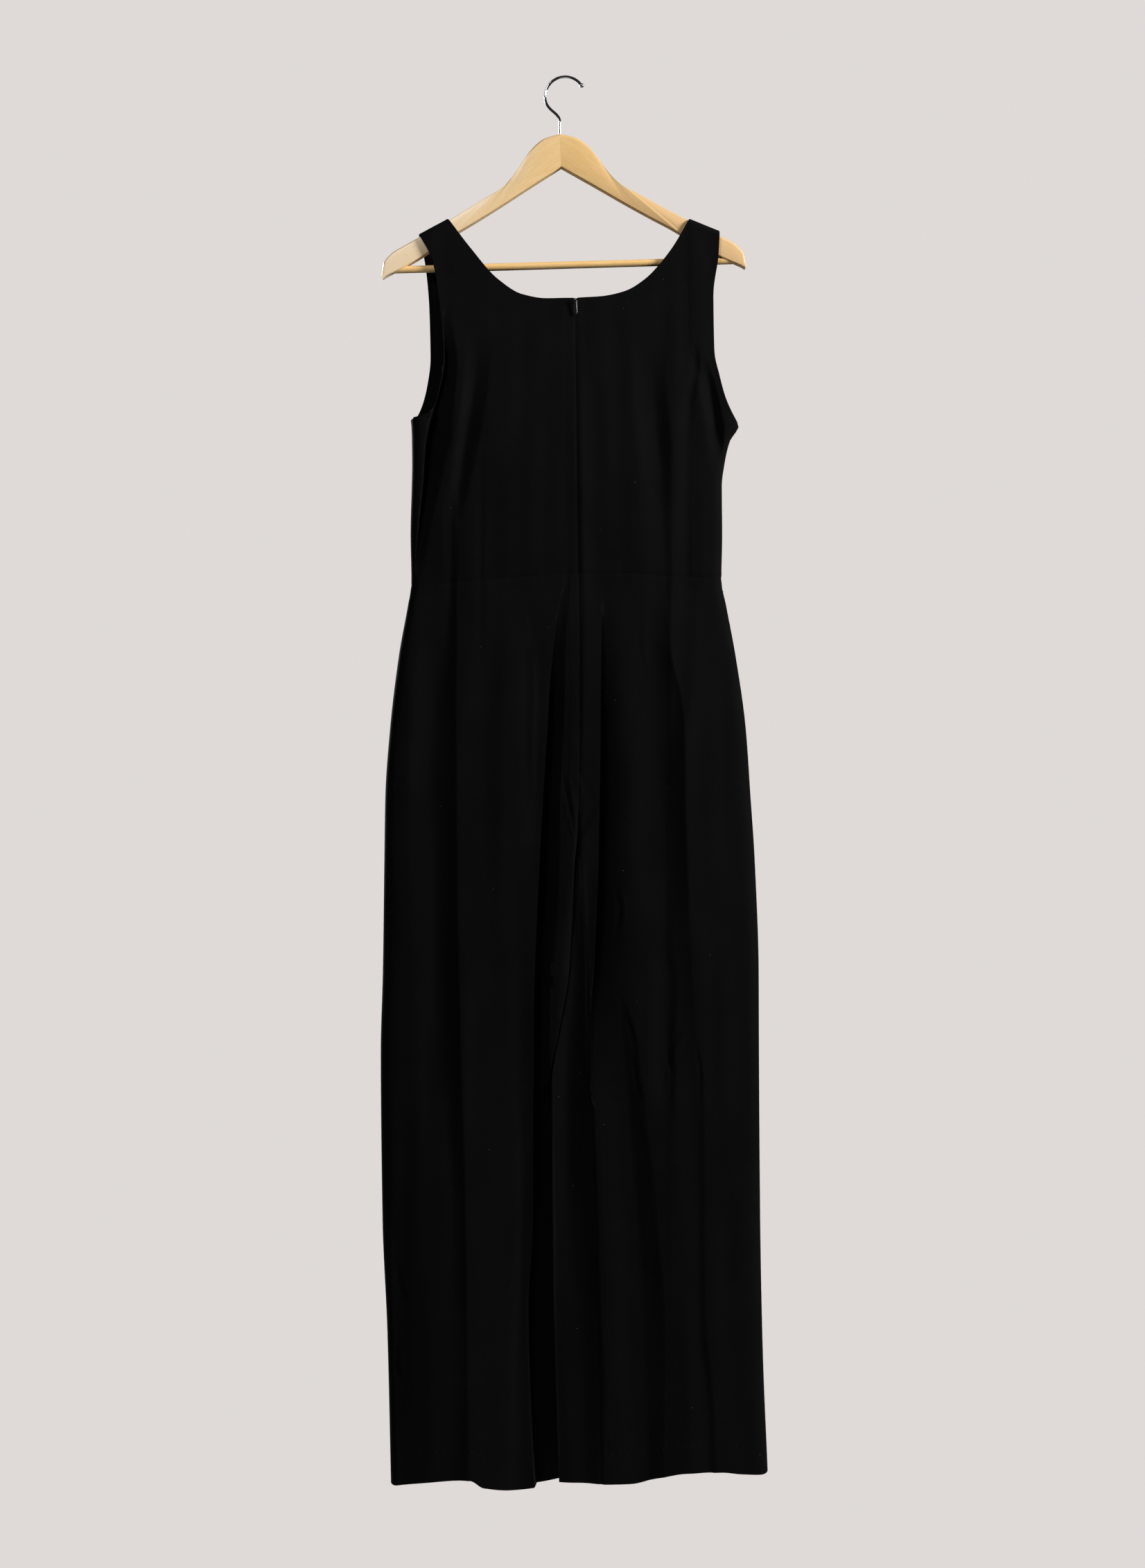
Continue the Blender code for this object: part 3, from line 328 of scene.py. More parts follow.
CUTS: dict[str, tuple[tuple[float, float], float]] = {  # the flat size and own area of each cut, in metres
    "back_leg_left": ((0.313, 1.12), 0.305),
    "back_leg_right": ((0.257, 1.11), 0.248),
    "front_leg_left": ((0.283, 1.12), 0.281),
    "front_leg_right": ((0.364, 1.12), 0.331),
    "back_bodice_left": ((0.235, 0.45), 0.076),
    "back_bodice_right": ((0.225, 0.45), 0.070),
    "front_bodice": ((0.43, 0.45), 0.140),
}


# ---------------------------------------------------------------- folds, creases and ripples


class Bank(Enum):
    """How a fold's bank rises from its foot to its top: 1 - (1 - t^p)^q by the powers (p, q)."""

    SOFT = (2.0, 2.0)
    STRAIGHT = (1.0, 1.0)
    HOLLOW = (1.0, 2.2)  # steepest at its foot, soft at its top
    LIPPED = (2.0, 1.0)  # soft at its foot, with an edge at its top
    CRISP = (1.4, 1.3)


@dataclass(frozen=True)
class Fold:
    """A trough pressed into a layer of cloth as it runs down the garment.

    path holds (height, x) pairs and depth (height, depth) pairs; left and right are the widths of its
    banks, level or by height. lean is the share of its left bank's width by which its foot moves left,
    under that bank's edge, where the cloth folds over.
    """

    path: Table
    depth: Table
    left: Table | float
    right: Table | float
    left_bank: Bank = Bank.SOFT
    right_bank: Bank = Bank.SOFT
    lean: float = 0.0
    lean_depth = 1.5  # the foot moves the whole way only where the trough is this deep

    def left_over(self, x: Array, z: Array) -> Array:
        """The share of the depth left at each point: 1 at the path, down to 0 at the banks' tops.

        Args:
            x: the points' places across.
            z: their heights.

        Returns:
            The shares.
        """
        away = x - read(self.path, z)
        width = np.where(away < 0, read(self.left, z), read(self.right, z))
        t = np.clip(np.abs(away) / width, 0, 1)
        banks = (self.left_bank.value, self.right_bank.value)
        shares = [(1 - t**foot_power) ** top_power for foot_power, top_power in banks]
        return np.where(away < 0, *shares)

    def press(self, x: Array, z: Array) -> Array:
        """The depth pressed in at each point: the table's depth at its path, down to 0 at its banks."""
        return read(self.depth, z) * self.left_over(x, z)

    def shift(self, x: Array, z: Array) -> Array:
        """How far each point moves across, by the lean where the trough is deep."""
        deep = slope_up(read(self.depth, z), self.lean_depth)
        return -self.lean * read(self.left, z) * deep * self.left_over(x, z)

    def marks(self, z: Array) -> tuple[Array, Array, Array]:
        """The x places of its left bank's top, its foot and its right bank's top."""
        foot = read(self.path, z)
        return foot - read(self.left, z), foot, foot + read(self.right, z)


@dataclass(frozen=True)
class Crease:
    """A short crease along (x, z) points: a ridge beside a trough, which fades out at both its ends."""

    points: Table
    height: float
    width: float

    def press(self, x: Array, z: Array) -> Array:
        """The depth pressed in at each point: height times d/w times exp((1 - (d/w)^2) / 2), where d is
        the signed distance to the line and w the width, faded by a sine over the line's length.

        Args:
            x: the points' places across.
            z: their heights.

        Returns:
            The depths.
        """
        line = np.array(self.points, float)
        lengths = np.linalg.norm(np.diff(line, axis=0), axis=1)
        begun = run_along(line)
        nearest = np.full(np.shape(x), np.inf)
        signed, place = np.zeros(np.shape(x)), np.zeros(np.shape(x))
        for (ax, az), (bx, bz), length, before in zip(line[:-1], line[1:], lengths, begun):
            ux, uz = (bx - ax) / length, (bz - az) / length
            t = np.clip((x - ax) * ux + (z - az) * uz, 0, length)
            dx, dz = x - ax - ux * t, z - az - uz * t
            away = np.hypot(dx, dz)
            closer = away < nearest
            nearest = np.where(closer, away, nearest)
            signed = np.where(closer, np.sign(dx * uz - dz * ux) * away, signed)
            place = np.where(closer, before + t, place)
        fade = np.sin(np.pi * np.clip(place / begun[-1], 0, 1)) ** 0.7
        d = signed / self.width
        return self.height * fade * d * np.exp((1 - d * d) / 2)


@dataclass(frozen=True)
class Ripples:
    """The slight unevenness of cloth that hangs under its own weight: long low waves."""

    seed: int
    height: float = 0.32
    waves: int = 26
    across: tuple[float, float] = (26.0, 120.0)
    down: tuple[float, float] = (160.0, 900.0)

    def press(self, x: Array, z: Array) -> Array:
        """A sum of sine waves whose lengths across and down, and phases, are drawn once from the seed.

        Args:
            x: the points' places across.
            z: their heights.

        Returns:
            The depth pressed in at each point.
        """
        draw = np.random.default_rng(self.seed)
        total = np.zeros(np.shape(x))
        for _ in range(self.waves):
            kx = 2 * np.pi / draw.uniform(*self.across)
            kz = 2 * np.pi / draw.uniform(*self.down) * draw.choice((-1, 1))
            total = total + np.sin(kx * x + kz * z + draw.uniform(0, 2 * np.pi))
        return self.height * total / math.sqrt(self.waves / 2)


BACK_FOLDS: dict[str, Fold] = {
    "left_pleat": Fold(
        path=((-620, -140), (-680, -146), (-760, -155), (-900, -158), (-1193, -150), (-1450, -134),
              (-1720, -132)),
        depth=((-600, 0), (-625, 1), (-680, 3.5), (-760, 6), (-1100, 7), (-1260, 5.5), (-1400, 3.2),
               (-1720, 2.4)),
        left=34,
        right=((-620, 7), (-680, 14.5), (-760, 23), (-900, 27), (-1193, 24), (-1450, 15), (-1720, 14)),
        right_bank=Bank.LIPPED,
    ),
    "inner_valley": Fold(
        path=((-616, 2), (-680, -6), (-770, -10), (-870, -16), (-1000, -23), (-1150, -28), (-1420, -29)),
        depth=((-612, 0), (-640, 1.4), (-680, 3.6), (-740, 8), (-795, 13.5), (-935, 20), (-1190, 20),
               (-1300, 15), (-1420, 0)),
        left=((-616, 3), (-680, 6), (-760, 10), (-1420, 10)),
        right=((-616, 5), (-680, 8), (-870, 10), (-1000, 12), (-1085, 9), (-1216, 10)),
        left_bank=Bank.STRAIGHT, right_bank=Bank.LIPPED, lean=1,
    ),
    "right_of_seam": Fold(
        path=((-640, 50), (-700, 52), (-780, 54), (-930, 52), (-1000, 50), (-1080, 46), (-1150, 41),
              (-1300, 42)),
        depth=((-640, 0), (-680, 4), (-740, 10), (-800, 15), (-900, 18), (-1040, 17), (-1110, 13),
               (-1190, 6), (-1260, 0)),
        left=((-640, 5), (-700, 8), (-780, 11), (-1300, 10)),
        right=((-650, 28), (-720, 30), (-800, 34), (-1000, 42), (-1160, 48), (-1300, 46)),
        left_bank=Bank.STRAIGHT, right_bank=Bank.HOLLOW, lean=1,
    ),
    "right_dart_valley": Fold(
        path=((-612, 112), (-700, 106), (-760, 112), (-870, 112), (-950, 114), (-1050, 122),
              (-1160, 126)),
        depth=((-596, 0), (-620, 1.2), (-700, 4.5), (-770, 7.5), (-880, 8.5), (-964, 7), (-1040, 4),
               (-1134, 2.5), (-1250, 0)),
        left=((-612, 30), (-760, 66), (-1000, 72)),
        right=((-612, 17), (-700, 22), (-760, 29), (-800, 33), (-870, 34), (-950, 34), (-1050, 30),
               (-1160, 32)),
        right_bank=Bank.LIPPED,
    ),
    "right_hip_edge": Fold(
        path=((-616, 147), (-760, 143), (-800, 141)),
        depth=((-600, 0.6), (-650, 1.6), (-760, 1.4), (-800, 0)), left=16, right=7,
        right_bank=Bank.LIPPED,
    ),
    "right_leg_middle": Fold(
        path=((-1150, 70), (-1218, 76), (-1280, 80), (-1330, 84), (-1400, 90), (-1500, 95), (-1600, 99),
              (-1720, 102)),
        depth=((-1100, 0), (-1160, 3), (-1230, 4.5), (-1330, 6.5), (-1450, 7.5), (-1600, 6.5),
               (-1720, 5)),
        left=((-1150, 30), (-1260, 50), (-1720, 62)),
        right=((-1150, 16), (-1218, 17), (-1280, 18), (-1330, 22), (-1400, 22), (-1500, 26), (-1600, 22),
               (-1720, 18)),
        right_bank=Bank.STRAIGHT,
    ),
    "right_leg_outer": Fold(
        path=((-1180, 158), (-1300, 160), (-1450, 160), (-1530, 162), (-1580, 168), (-1650, 173)),
        depth=((-1150, 0), (-1300, 1.6), (-1500, 2), (-1720, 2.2)), left=24, right=8,
        right_bank=Bank.LIPPED,
    ),
    "inseam_trough": Fold(
        path=((-1000, 12), (-1080, 12), (-1200, 5), (-1330, 8), (-1400, 12), (-1500, 22), (-1600, 28),
              (-1720, 28)),
        depth=((-970, 0), (-1020, 2), (-1100, 4), (-1200, 6), (-1330, 6), (-1429, 5), (-1540, 4),
               (-1720, 2.5)),
        left=((-1040, 10), (-1200, 20), (-1330, 22), (-1500, 34), (-1720, 34)),
        right=((-1000, 13), (-1080, 16), (-1200, 28), (-1330, 30), (-1400, 28), (-1500, 21), (-1720, 19)),
        right_bank=Bank.LIPPED,
    ),
    "right_of_inseam": Fold(
        path=((-941, 26), (-1040, 28), (-1160, 30), (-1260, 34)),
        depth=((-945, 0), (-1000, 1.6), (-1110, 1.6), (-1200, 0)), left=5, right=13,
    ),
    "right_leg_crease": Fold(
        path=((-1060, 120), (-1110, 128), (-1160, 125), (-1220, 124), (-1260, 126)),
        depth=((-1040, 0), (-1090, 1.2), (-1220, 2.2), (-1280, 0)), left=26, right=9,
    ),
    "left_leg_fall": Fold(
        path=((-1000, -58), (-1160, -56), (-1720, -54)),
        depth=((-960, 0), (-1060, 4), (-1230, 11), (-1400, 14.5), (-1560, 14), (-1720, 10.5)),
        left=((-1000, 64), (-1260, 66), (-1720, 60)), right=120, left_bank=Bank.STRAIGHT,
    ),
    "left_hip_fall": Fold(
        path=((-680, -24), (-780, -30), (-900, -36), (-1040, -44)),
        depth=((-660, 0), (-760, 3.5), (-980, 4), (-1100, 0)), left=((-680, 40), (-1040, 40)), right=60,
    ),
    "left_hip_soft": Fold(
        path=((-690, -92), (-770, -96), (-900, -98)),
        depth=((-650, 0), (-735, 2.6), (-820, 2.6), (-1020, 0)), left=30, right=24,
    ),
    "left_hip_bead": Fold(
        path=((-700, -40), (-760, -39), (-810, -40), (-880, -40)),
        depth=((-690, 0), (-740, -1.6), (-800, -1.6), (-900, 0)), left=5, right=6,
    ),
    "left_leg_low": Fold(
        path=((-1240, -52), (-1320, -48), (-1380, -49), (-1460, -51), (-1540, -56), (-1640, -58)),
        depth=((-1240, 0), (-1320, 1.6), (-1400, 2), (-1470, 2.4), (-1600, 2.2), (-1720, 1)), left=12,
        right=60,
    ),
    "left_edge_roll": Fold(
        path=((-1380, -205), (-1460, -204), (-1720, -196)),
        depth=((-1370, 0), (-1460, 1.6), (-1720, 2.5)), left=12, right=22,
    ),
    "left_dart": Fold(
        path=((-425, -100), (-600, -101), (-735, -101)),
        depth=((-430, 0), (-560, 0.7), (-640, 0.8), (-735, 0)), left=9, right=2.5, right_bank=Bank.CRISP,
    ),
    "left_side_line": Fold(
        path=((-500, -139), (-616, -137)), depth=((-495, 0), (-540, 0.9), (-612, 1.1), (-650, 0.3)),
        left=12, right=5, right_bank=Bank.LIPPED,
    ),
    "left_armhole_valley": Fold(
        path=((-300, -143), (-345, -141), (-385, -147), (-420, -157), (-450, -163), (-500, -168),
              (-560, -175), (-605, -180)),
        depth=((-280, 0), (-320, 4), (-350, 9), (-400, 14), (-440, 16), (-500, 13), (-550, 8),
               (-590, 3.5), (-615, 0)),
        left=((-300, 5), (-385, 6), (-440, 7), (-500, 5), (-605, 4)),
        right=((-300, 6), (-345, 10), (-385, 14), (-420, 21), (-450, 25), (-480, 19), (-520, 13),
               (-605, 8)),
        left_bank=Bank.STRAIGHT, right_bank=Bank.CRISP, lean=1,
    ),
    "left_bodice_drape": Fold(
        path=((-325, -104), (-380, -110), (-430, -117), (-480, -124), (-530, -130)),
        depth=((-320, 0), (-360, 3), (-400, 5.5), (-440, 6.5), (-490, 4.5), (-550, 0)),
        left=((-325, 18), (-440, 14), (-530, 14)),
        right=((-325, 18), (-400, 17), (-440, 16), (-490, 12), (-530, 8)), right_bank=Bank.STRAIGHT,
    ),
    "right_bodice_drape": Fold(
        path=((-330, 104), (-400, 108), (-440, 112), (-500, 116), (-560, 119), (-616, 122)),
        depth=((-315, 0), (-360, 2.5), (-400, 4.6), (-450, 5.2), (-500, 3.6), (-560, 2.6), (-620, 1.5),
               (-650, 0.6)),
        left=28, right=((-330, 18), (-400, 17), (-450, 17), (-500, 14), (-560, 11), (-616, 8)),
        right_bank=Bank.CRISP,
    ),
    "right_side_line": Fold(
        path=((-385, 149), (-430, 149), (-500, 149), (-616, 151)),
        depth=((-380, 0), (-430, 0.9), (-500, 0.9), (-616, 1.4), (-680, 0)), left=15, right=18,
    ),
    "right_armhole_soft": Fold(
        path=((-330, 158), (-360, 158), (-400, 152), (-430, 150)),
        depth=((-325, 0), (-360, 2), (-400, 1.4), (-440, 0)), left=9, right=7,
    ),
    "right_underarm_crease": Fold(
        path=((-345, 166), (-380, 176), (-415, 183), (-445, 187), (-480, 190)),
        depth=((-345, 0), (-390, 3.6), (-440, 4.6), (-485, 0)), left=16, right=7, right_bank=Bank.CRISP,
    ),
    "small_of_back": Fold(
        path=((-520, 62), (-616, 64)), depth=((-480, 0), (-580, 0.8), (-640, 0)), left=24, right=20,
    ),
    "seam_flap": Fold(
        path=((-330, 18), (-400, 18.5), (-520, 20), (-680, 22), (-850, 20)),
        depth=((-320, 0), (-420, -0.7), (-560, -1.1), (-760, -1.2), (-890, 0)), left=3, right=20,
        right_bank=Bank.HOLLOW,
    ),
}
FRONT_FOLDS: dict[str, Fold] = {
    "left_crease": Fold(
        path=((-616, -112), (-1720, -108)), depth=((-616, 0), (-760, 4), (-1200, 7), (-1720, 9)), left=30,
        right=5, right_bank=Bank.CRISP,
    ),
    "left_inner": Fold(
        path=((-616, -42), (-1000, -52), (-1720, -46)),
        depth=((-640, 0), (-800, 4), (-1100, 7), (-1720, 8)), left=7, right=26, left_bank=Bank.CRISP,
    ),
    "right_inner": Fold(
        path=((-616, 70), (-1000, 76), (-1720, 82)), depth=((-640, 0), (-800, 5), (-1100, 7), (-1720, 8)),
        left=26, right=7, right_bank=Bank.CRISP,
    ),
    "right_crease": Fold(
        path=((-616, 130), (-1720, 146)), depth=((-616, 0), (-760, 4), (-1200, 6), (-1720, 8)), left=5,
        right=30, left_bank=Bank.CRISP,
    ),
    "left_outer": Fold(
        path=((-1150, -172), (-1720, -178)), depth=((-1120, 0), (-1300, 2.5), (-1720, 3.2)), left=4,
        right=18, left_bank=Bank.CRISP,
    ),
    "right_outer": Fold(
        path=((-1240, 196), (-1720, 204)), depth=((-1200, 0), (-1400, 2.2), (-1720, 3)), left=18, right=4,
        right_bank=Bank.CRISP,
    ),
    "centre_soft": Fold(
        path=((-640, 16), (-900, 17)), depth=((-620, 0), (-720, 2.4), (-880, 2.4), (-960, 0)), left=18,
        right=18,
    ),
    "left_bust": Fold(
        path=((-380, -92), (-600, -84)), depth=((-400, 0), (-590, 1.4), (-625, 1), (-700, 0)), left=10,
        right=3, right_bank=Bank.CRISP,
    ),
    "right_bust": Fold(
        path=((-380, 110), (-600, 104)), depth=((-400, 0), (-590, 1.4), (-625, 1), (-700, 0)), left=3,
        right=10, left_bank=Bank.CRISP,
    ),
    "left_drape": Fold(
        path=((-330, -118), (-420, -130), (-520, -146)), depth=((-310, 0), (-420, 5), (-560, 0)), left=18,
        right=12,
    ),
    "right_drape": Fold(
        path=((-330, 138), (-420, 146), (-520, 156)), depth=((-310, 0), (-420, 4), (-560, 0)), left=12,
        right=18,
    ),
    "chest_soft": Fold(
        path=((-320, -8), (-480, 6), (-616, 12)), depth=((-300, 0), (-420, 1.4), (-560, 1.6), (-660, 0)),
        left=34, right=30,
    ),
}
BACK_CREASES: tuple[Crease, ...] = (
    Crease(((42, -886), (33, -903), (24, -919), (16, -936)), 1.3, 2.4),
    Crease(((112, -882), (98, -893), (84, -904), (66, -912)), 0.7, 2.2),
    Crease(((40, -748), (50, -741), (58, -746), (67, -732)), -0.7, 2.2),
    Crease(((-1, -852), (6, -880), (9, -905), (11, -935)), 0.7, 2.6),
    Crease(((16, -850), (22, -868), (26, -884)), -0.5, 2.2),
    Crease(((0, -866), (8, -858), (16, -862)), 0.4, 1.8),
    Crease(((-1, -905), (5, -890), (13, -896)), 0.4, 2.0),
    Crease(((154, -1152), (141, -1166), (127, -1192)), 1.0, 2.0),
    Crease(((121, -1168), (122, -1192), (128, -1214), (126, -1240)), -1.0, 2.2),
    Crease(((118, -858), (128, -862), (142, -857)), 0.7, 1.8),
    Crease(((68, -990), (72, -1016), (68, -1048)), 0.7, 2.2),
    Crease(((122, -1072), (134, -1066), (150, -1070)), -0.5, 1.8),
    Crease(((-220, -853), (-206, -858), (-194, -856)), 0.7, 2.0),
    Crease(((-206, -872), (-199, -866), (-192, -859)), -0.6, 1.8),
    Crease(((222, -868), (210, -862), (202, -866)), 0.6, 2.0),
    Crease(((-203, -1440), (-198, -1468), (-188, -1494)), 0.6, 2.6),
    Crease(((-58, -1452), (-66, -1474), (-69, -1494)), -0.6, 2.4),
    Crease(((-78, -1526), (-60, -1530), (-46, -1524)), 0.5, 2.0),
    Crease(((238, -1452), (224, -1470), (210, -1484)), 0.8, 3.4),
    Crease(((-198, -1545), (-204, -1562), (-200, -1584)), 0.9, 3.0),
    Crease(((-88, -424), (-94, -434), (-100, -438)), 0.4, 1.6),
    Crease(((85, -1190), (88, -1216), (94, -1246)), 0.7, 2.0),
    Crease(((72, -1130), (82, -1160), (88, -1190)), 0.6, 2.4),
    Crease(((20, -1202), (30, -1190), (60, -1191), (106, -1190)), 0.35, 1.8),
    Crease(((-36, -1092), (-20, -1096), (-10, -1110)), 0.5, 2.0),
    Crease(((-12, -1128), (-4, -1150), (-2, -1178)), -0.6, 2.0),
    Crease(((-52, -640), (-44, -668), (-42, -700)), -0.35, 2.4),
    Crease(((96, -650), (92, -690), (98, -730)), 0.35, 2.6),
    Crease(((160, -1180), (166, -1215), (164, -1250)), 0.5, 2.2),
)
FRONT_CREASES: tuple[Crease, ...] = (
    Crease(((-16, -884), (-4, -905), (8, -922), (15, -936)), 1.1, 2.6),
    Crease(((52, -878), (40, -898), (28, -920), (16, -934)), -1.1, 2.6),
    Crease(((-86, -880), (-66, -896), (-44, -903)), 0.7, 2.4),
    Crease(((112, -868), (96, -884), (80, -892)), 0.7, 2.4),
    Crease(((-152, -1148), (-138, -1170), (-124, -1192)), 0.9, 2.2),
    Crease(((150, -1196), (138, -1216), (130, -1244)), -0.9, 2.2),
    Crease(((-214, -858), (-204, -862), (-192, -858)), 0.6, 2.0),
    Crease(((221, -860), (208, -866), (198, -862)), 0.6, 2.0),
    Crease(((-60, -640), (-54, -676), (-56, -712)), 0.4, 2.6),
    Crease(((86, -644), (82, -684), (88, -722)), 0.4, 2.6),
    Crease(((204, -1440), (214, -1462), (226, -1478)), 0.7, 3.0),
    Crease(((-60, -470), (-30, -480), (4, -476)), 0.4, 4.0),
)
FOLDS = {Face.BACK: BACK_FOLDS, Face.FRONT: FRONT_FOLDS}
RELIEF: dict[Face, tuple] = {
    Face.BACK: (*BACK_FOLDS.values(), *BACK_CREASES, Ripples(seed=11)),
    Face.FRONT: (*FRONT_FOLDS.values(), *FRONT_CREASES, Ripples(seed=23)),
}


def pressed(face: Face, x: Array, z: Array) -> Array:
    """The depth that a layer's folds, creases and ripples press it in, added up."""
    return sum(relief.press(x, z) for relief in RELIEF[face])


def leaned(face: Face, points: Array) -> Array:
    """Moves the points of a layer across, under the edges of the folds that lean.

    Args:
        face: the layer.
        points: its points.

    Returns:
        The moved points.
    """
    x, z = points[..., 0], points[..., 2]
    shift = sum(fold.shift(x, z) for fold in FOLDS[face].values() if fold.lean)
    return np.stack([x + shift, points[..., 1], z], axis=-1)


def thinned(inside: Array, z: Array) -> Array:
    """Half the depth at a distance inside the side seams: less towards them, where the cloth hangs
    flatter, but not at the shoulders, where the hanger holds it open."""
    share = 1 - THINNING * slope_up(THIN_FROM - z, THIN_FADE) * (1 - slope_up(inside, THIN_WIDTH))
    return share * read_column(SECTIONS, "depth", z)


def torso_y(face: Face, x: Array, z: Array) -> Array:
    """The depth place of a layer of the bodice and hips.

    Half the section's depth less what is pressed in, times the section's rounding, which turns from
    one form into two side by side between the hips and the crotch, and times a quarter circle where the
    straps bend over the hanger.

    Args:
        face: the layer.
        x: the points' places across.
        z: their heights.

    Returns:
        The points' y.
    """
    left, right = read_column(SECTIONS, "left", z), read_column(SECTIONS, "right", z)
    centre = CENTRE[Face.BACK][-1][1]
    leg_powers = (SIDE_POWER, SIDE_POWER)
    in_left = rounding(np.minimum(x, (left + centre) / 2), left, centre, leg_powers)
    in_right = rounding(np.maximum(x, (right + centre) / 2), centre, right, leg_powers)
    two_legs = np.where(x < centre, in_left, in_right)
    legs_part = slope_up(LEGS_FROM - z, LEGS_FROM - (CROTCH + CROTCH_CURVE))
    flat = rounding(x, left, right, BODICE_POWERS) * (1 - legs_part) + two_legs * legs_part
    bend = np.ones_like(x)
    for side, slope in SHOULDER_SLOPES.items():
        shoulder_x, shoulder_z = SHOULDERS[side]
        drop = shoulder_z + slope * (x - shoulder_x) - z
        over = 1 - np.clip(drop / SHOULDER_BEND, 0, 1)
        bend = np.where(x * side > STRAPS_FROM, np.sqrt(1 - over**2), bend)
    depth = thinned(np.minimum(x - left, right - x), z)
    return face * (depth - pressed(face, x, z)) * flat * bend


def leg_y(side: Side, face: Face, x: Array, z: Array) -> Array:
    """The depth place of a leg's layer, whose inner edge is turned forward or back past the other leg's.

    Half the depth less what is pressed in, times the leg's rounding, plus the turn of its inner edge
    where the section narrows; the facing sides of the two legs are pressed in by the tuck.

    Args:
        side: the leg.
        face: the layer.
        x: the points' places across.
        z: their heights.

    Returns:
        The points' y.
    """
    outer = read_column(SECTIONS, side.word, z)
    inner = read_column(LEGS, f"{side.word}_in", z)
    powers = (SIDE_POWER, INNER_POWER[face])[::-side]
    flat = rounding(x, np.minimum(inner, outer), np.maximum(inner, outer), powers)
    depth = thinned(np.abs(x - outer), z) - pressed(face, x, z)
    tuck = read_column(LEGS, "tuck", z)
    if (side, face) == (Side.LEFT, Face.BACK):
        dive = read_column(LEGS, "dive", z)
        depth = np.maximum(depth - tuck * slope_up(x - dive, DIVE_BANK), LEAST_DEPTH)
    if (side, face) == (Side.RIGHT, Face.FRONT):
        toe = read_column(LEGS, "left_in", z) + TOE_STEP
        extra = 1 + TOE_EXTRA / LEGS[-1].tuck
        depth = depth - tuck * extra * slope_up(toe + TOE_BANK - x, TOE_BANK)
    turn = read_column(LEGS, f"{side.word}_y", z)
    inner_half = np.abs(x - outer) > np.abs(x - inner)
    return face * depth * flat + turn * (1 - flat) * inner_half


# ---------------------------------------------------------------- meshes

SHARP_DEG = 46  # edges that turn more than this are shaded sharp


def new_mesh(name: str, points: Array, faces: Array, uv: Array | None = None) -> bpy.types.Object:
    """Makes a mesh object at the origin from whole arrays, smooth but for its sharp edges.

    Args:
        name: the piece's name.
        points: its points in millimetres.
        faces: its faces as rows of point numbers, all with as many corners.
        uv: the points' places on the flat cloth or along the grain, in metres, if the finish reads them.

    Returns:
        The linked object.
    """
    mesh = bpy.data.meshes.new(name)
    count, corners = faces.shape
    mesh.vertices.add(len(points))
    mesh.vertices.foreach_set("co", (points * MM).astype(np.float32).ravel())
    mesh.loops.add(count * corners)
    mesh.loops.foreach_set("vertex_index", faces.astype(np.int32).ravel())
    mesh.polygons.add(count)
    mesh.polygons.foreach_set("loop_start", np.arange(0, count * corners, corners, dtype=np.int32))
    mesh.update(calc_edges=True)
    if uv is not None:
        layer = mesh.uv_layers.new(name="UVMap")
        layer.data.foreach_set("uv", uv[faces.ravel()].astype(np.float32).ravel())
    mesh.validate()
    piece = bpy.data.objects.new(name, mesh)
    bpy.context.scene.collection.objects.link(piece)
    mesh.shade_smooth()
    mesh.set_sharp_from_angle(angle=math.radians(SHARP_DEG))
    return piece


def grid_faces(rows: int, columns: int, around: bool = False, turned: bool = False) -> Array:
    """The quads of a grid of points numbered row by row.

    Args:
        rows: how many rows of points.
        columns: how many points in a row.
        around: True if each row closes on itself.
        turned: True to turn every face over.

    Returns:
        The quads as rows of four point numbers.
    """
    index = np.arange(rows * columns).reshape(rows, columns)
    if around:
        index = np.concatenate([index, index[:, :1]], axis=1)
    corners = (index[:-1, :-1], index[1:, :-1], index[1:, 1:], index[:-1, 1:])
    return np.stack(corners[::-1] if turned else corners, axis=2).reshape(-1, 4)


def closed_ends(rings: Array, middles: Array) -> Array:
    """Draws the two ends of a row of rings in to points.

    Args:
        rings: the rings' points, by ring and by place round it.
        middles: the middle of each ring.

    Returns:
        The rings with one more at each end, whose points all lie at the end's middle.
    """
    ends = [np.repeat(middles[i][None, None], rings.shape[1], axis=1) for i in (0, -1)]
    return np.concatenate([ends[0], rings, ends[1]])


def round_turn(count: int) -> Array:
    """Angles once round a circle, evenly."""
    return np.linspace(0, 2 * np.pi, count, endpoint=False)


def tube(path: Array, radius: Array | float, sides: int) -> tuple[Array, Array]:
    """A round tube along a path: a circle of the given radius across the path at each of its points.

    Args:
        path: the points of its centreline, in millimetres.
        radius: its radius, one for all points or one each.
        sides: how many points its circle has.

    Returns:
        Its points and quads; its two ends are drawn in to a point.
    """
    tangent = unit(np.gradient(path, axis=0))
    across = np.array([0.31, 0.87, 0.38])  # along none of the paths
    first = unit(np.cross(tangent, across))
    second = np.cross(tangent, first)
    turn = round_turn(sides)[:, None]
    radius = np.broadcast_to(radius, len(path))[:, None, None]
    points = path[:, None] + (first[:, None] * np.cos(turn) + second[:, None] * np.sin(turn)) * radius
    points = closed_ends(points, path)
    return points.reshape(-1, 3), grid_faces(len(points), sides, around=True)


def surface_normals(grid: Array, outward: int) -> Array:
    """The outward direction at each point of a grid: the cross product of its steps down and across.

    Args:
        grid: rows by columns of points.
        outward: 1 or -1, which turns the directions out of the garment.

    Returns:
        Unit vectors in the shape of the grid.
    """
    down, across = np.gradient(grid, axis=0), np.gradient(grid, axis=1)
    return unit(np.cross(down, across)) * outward


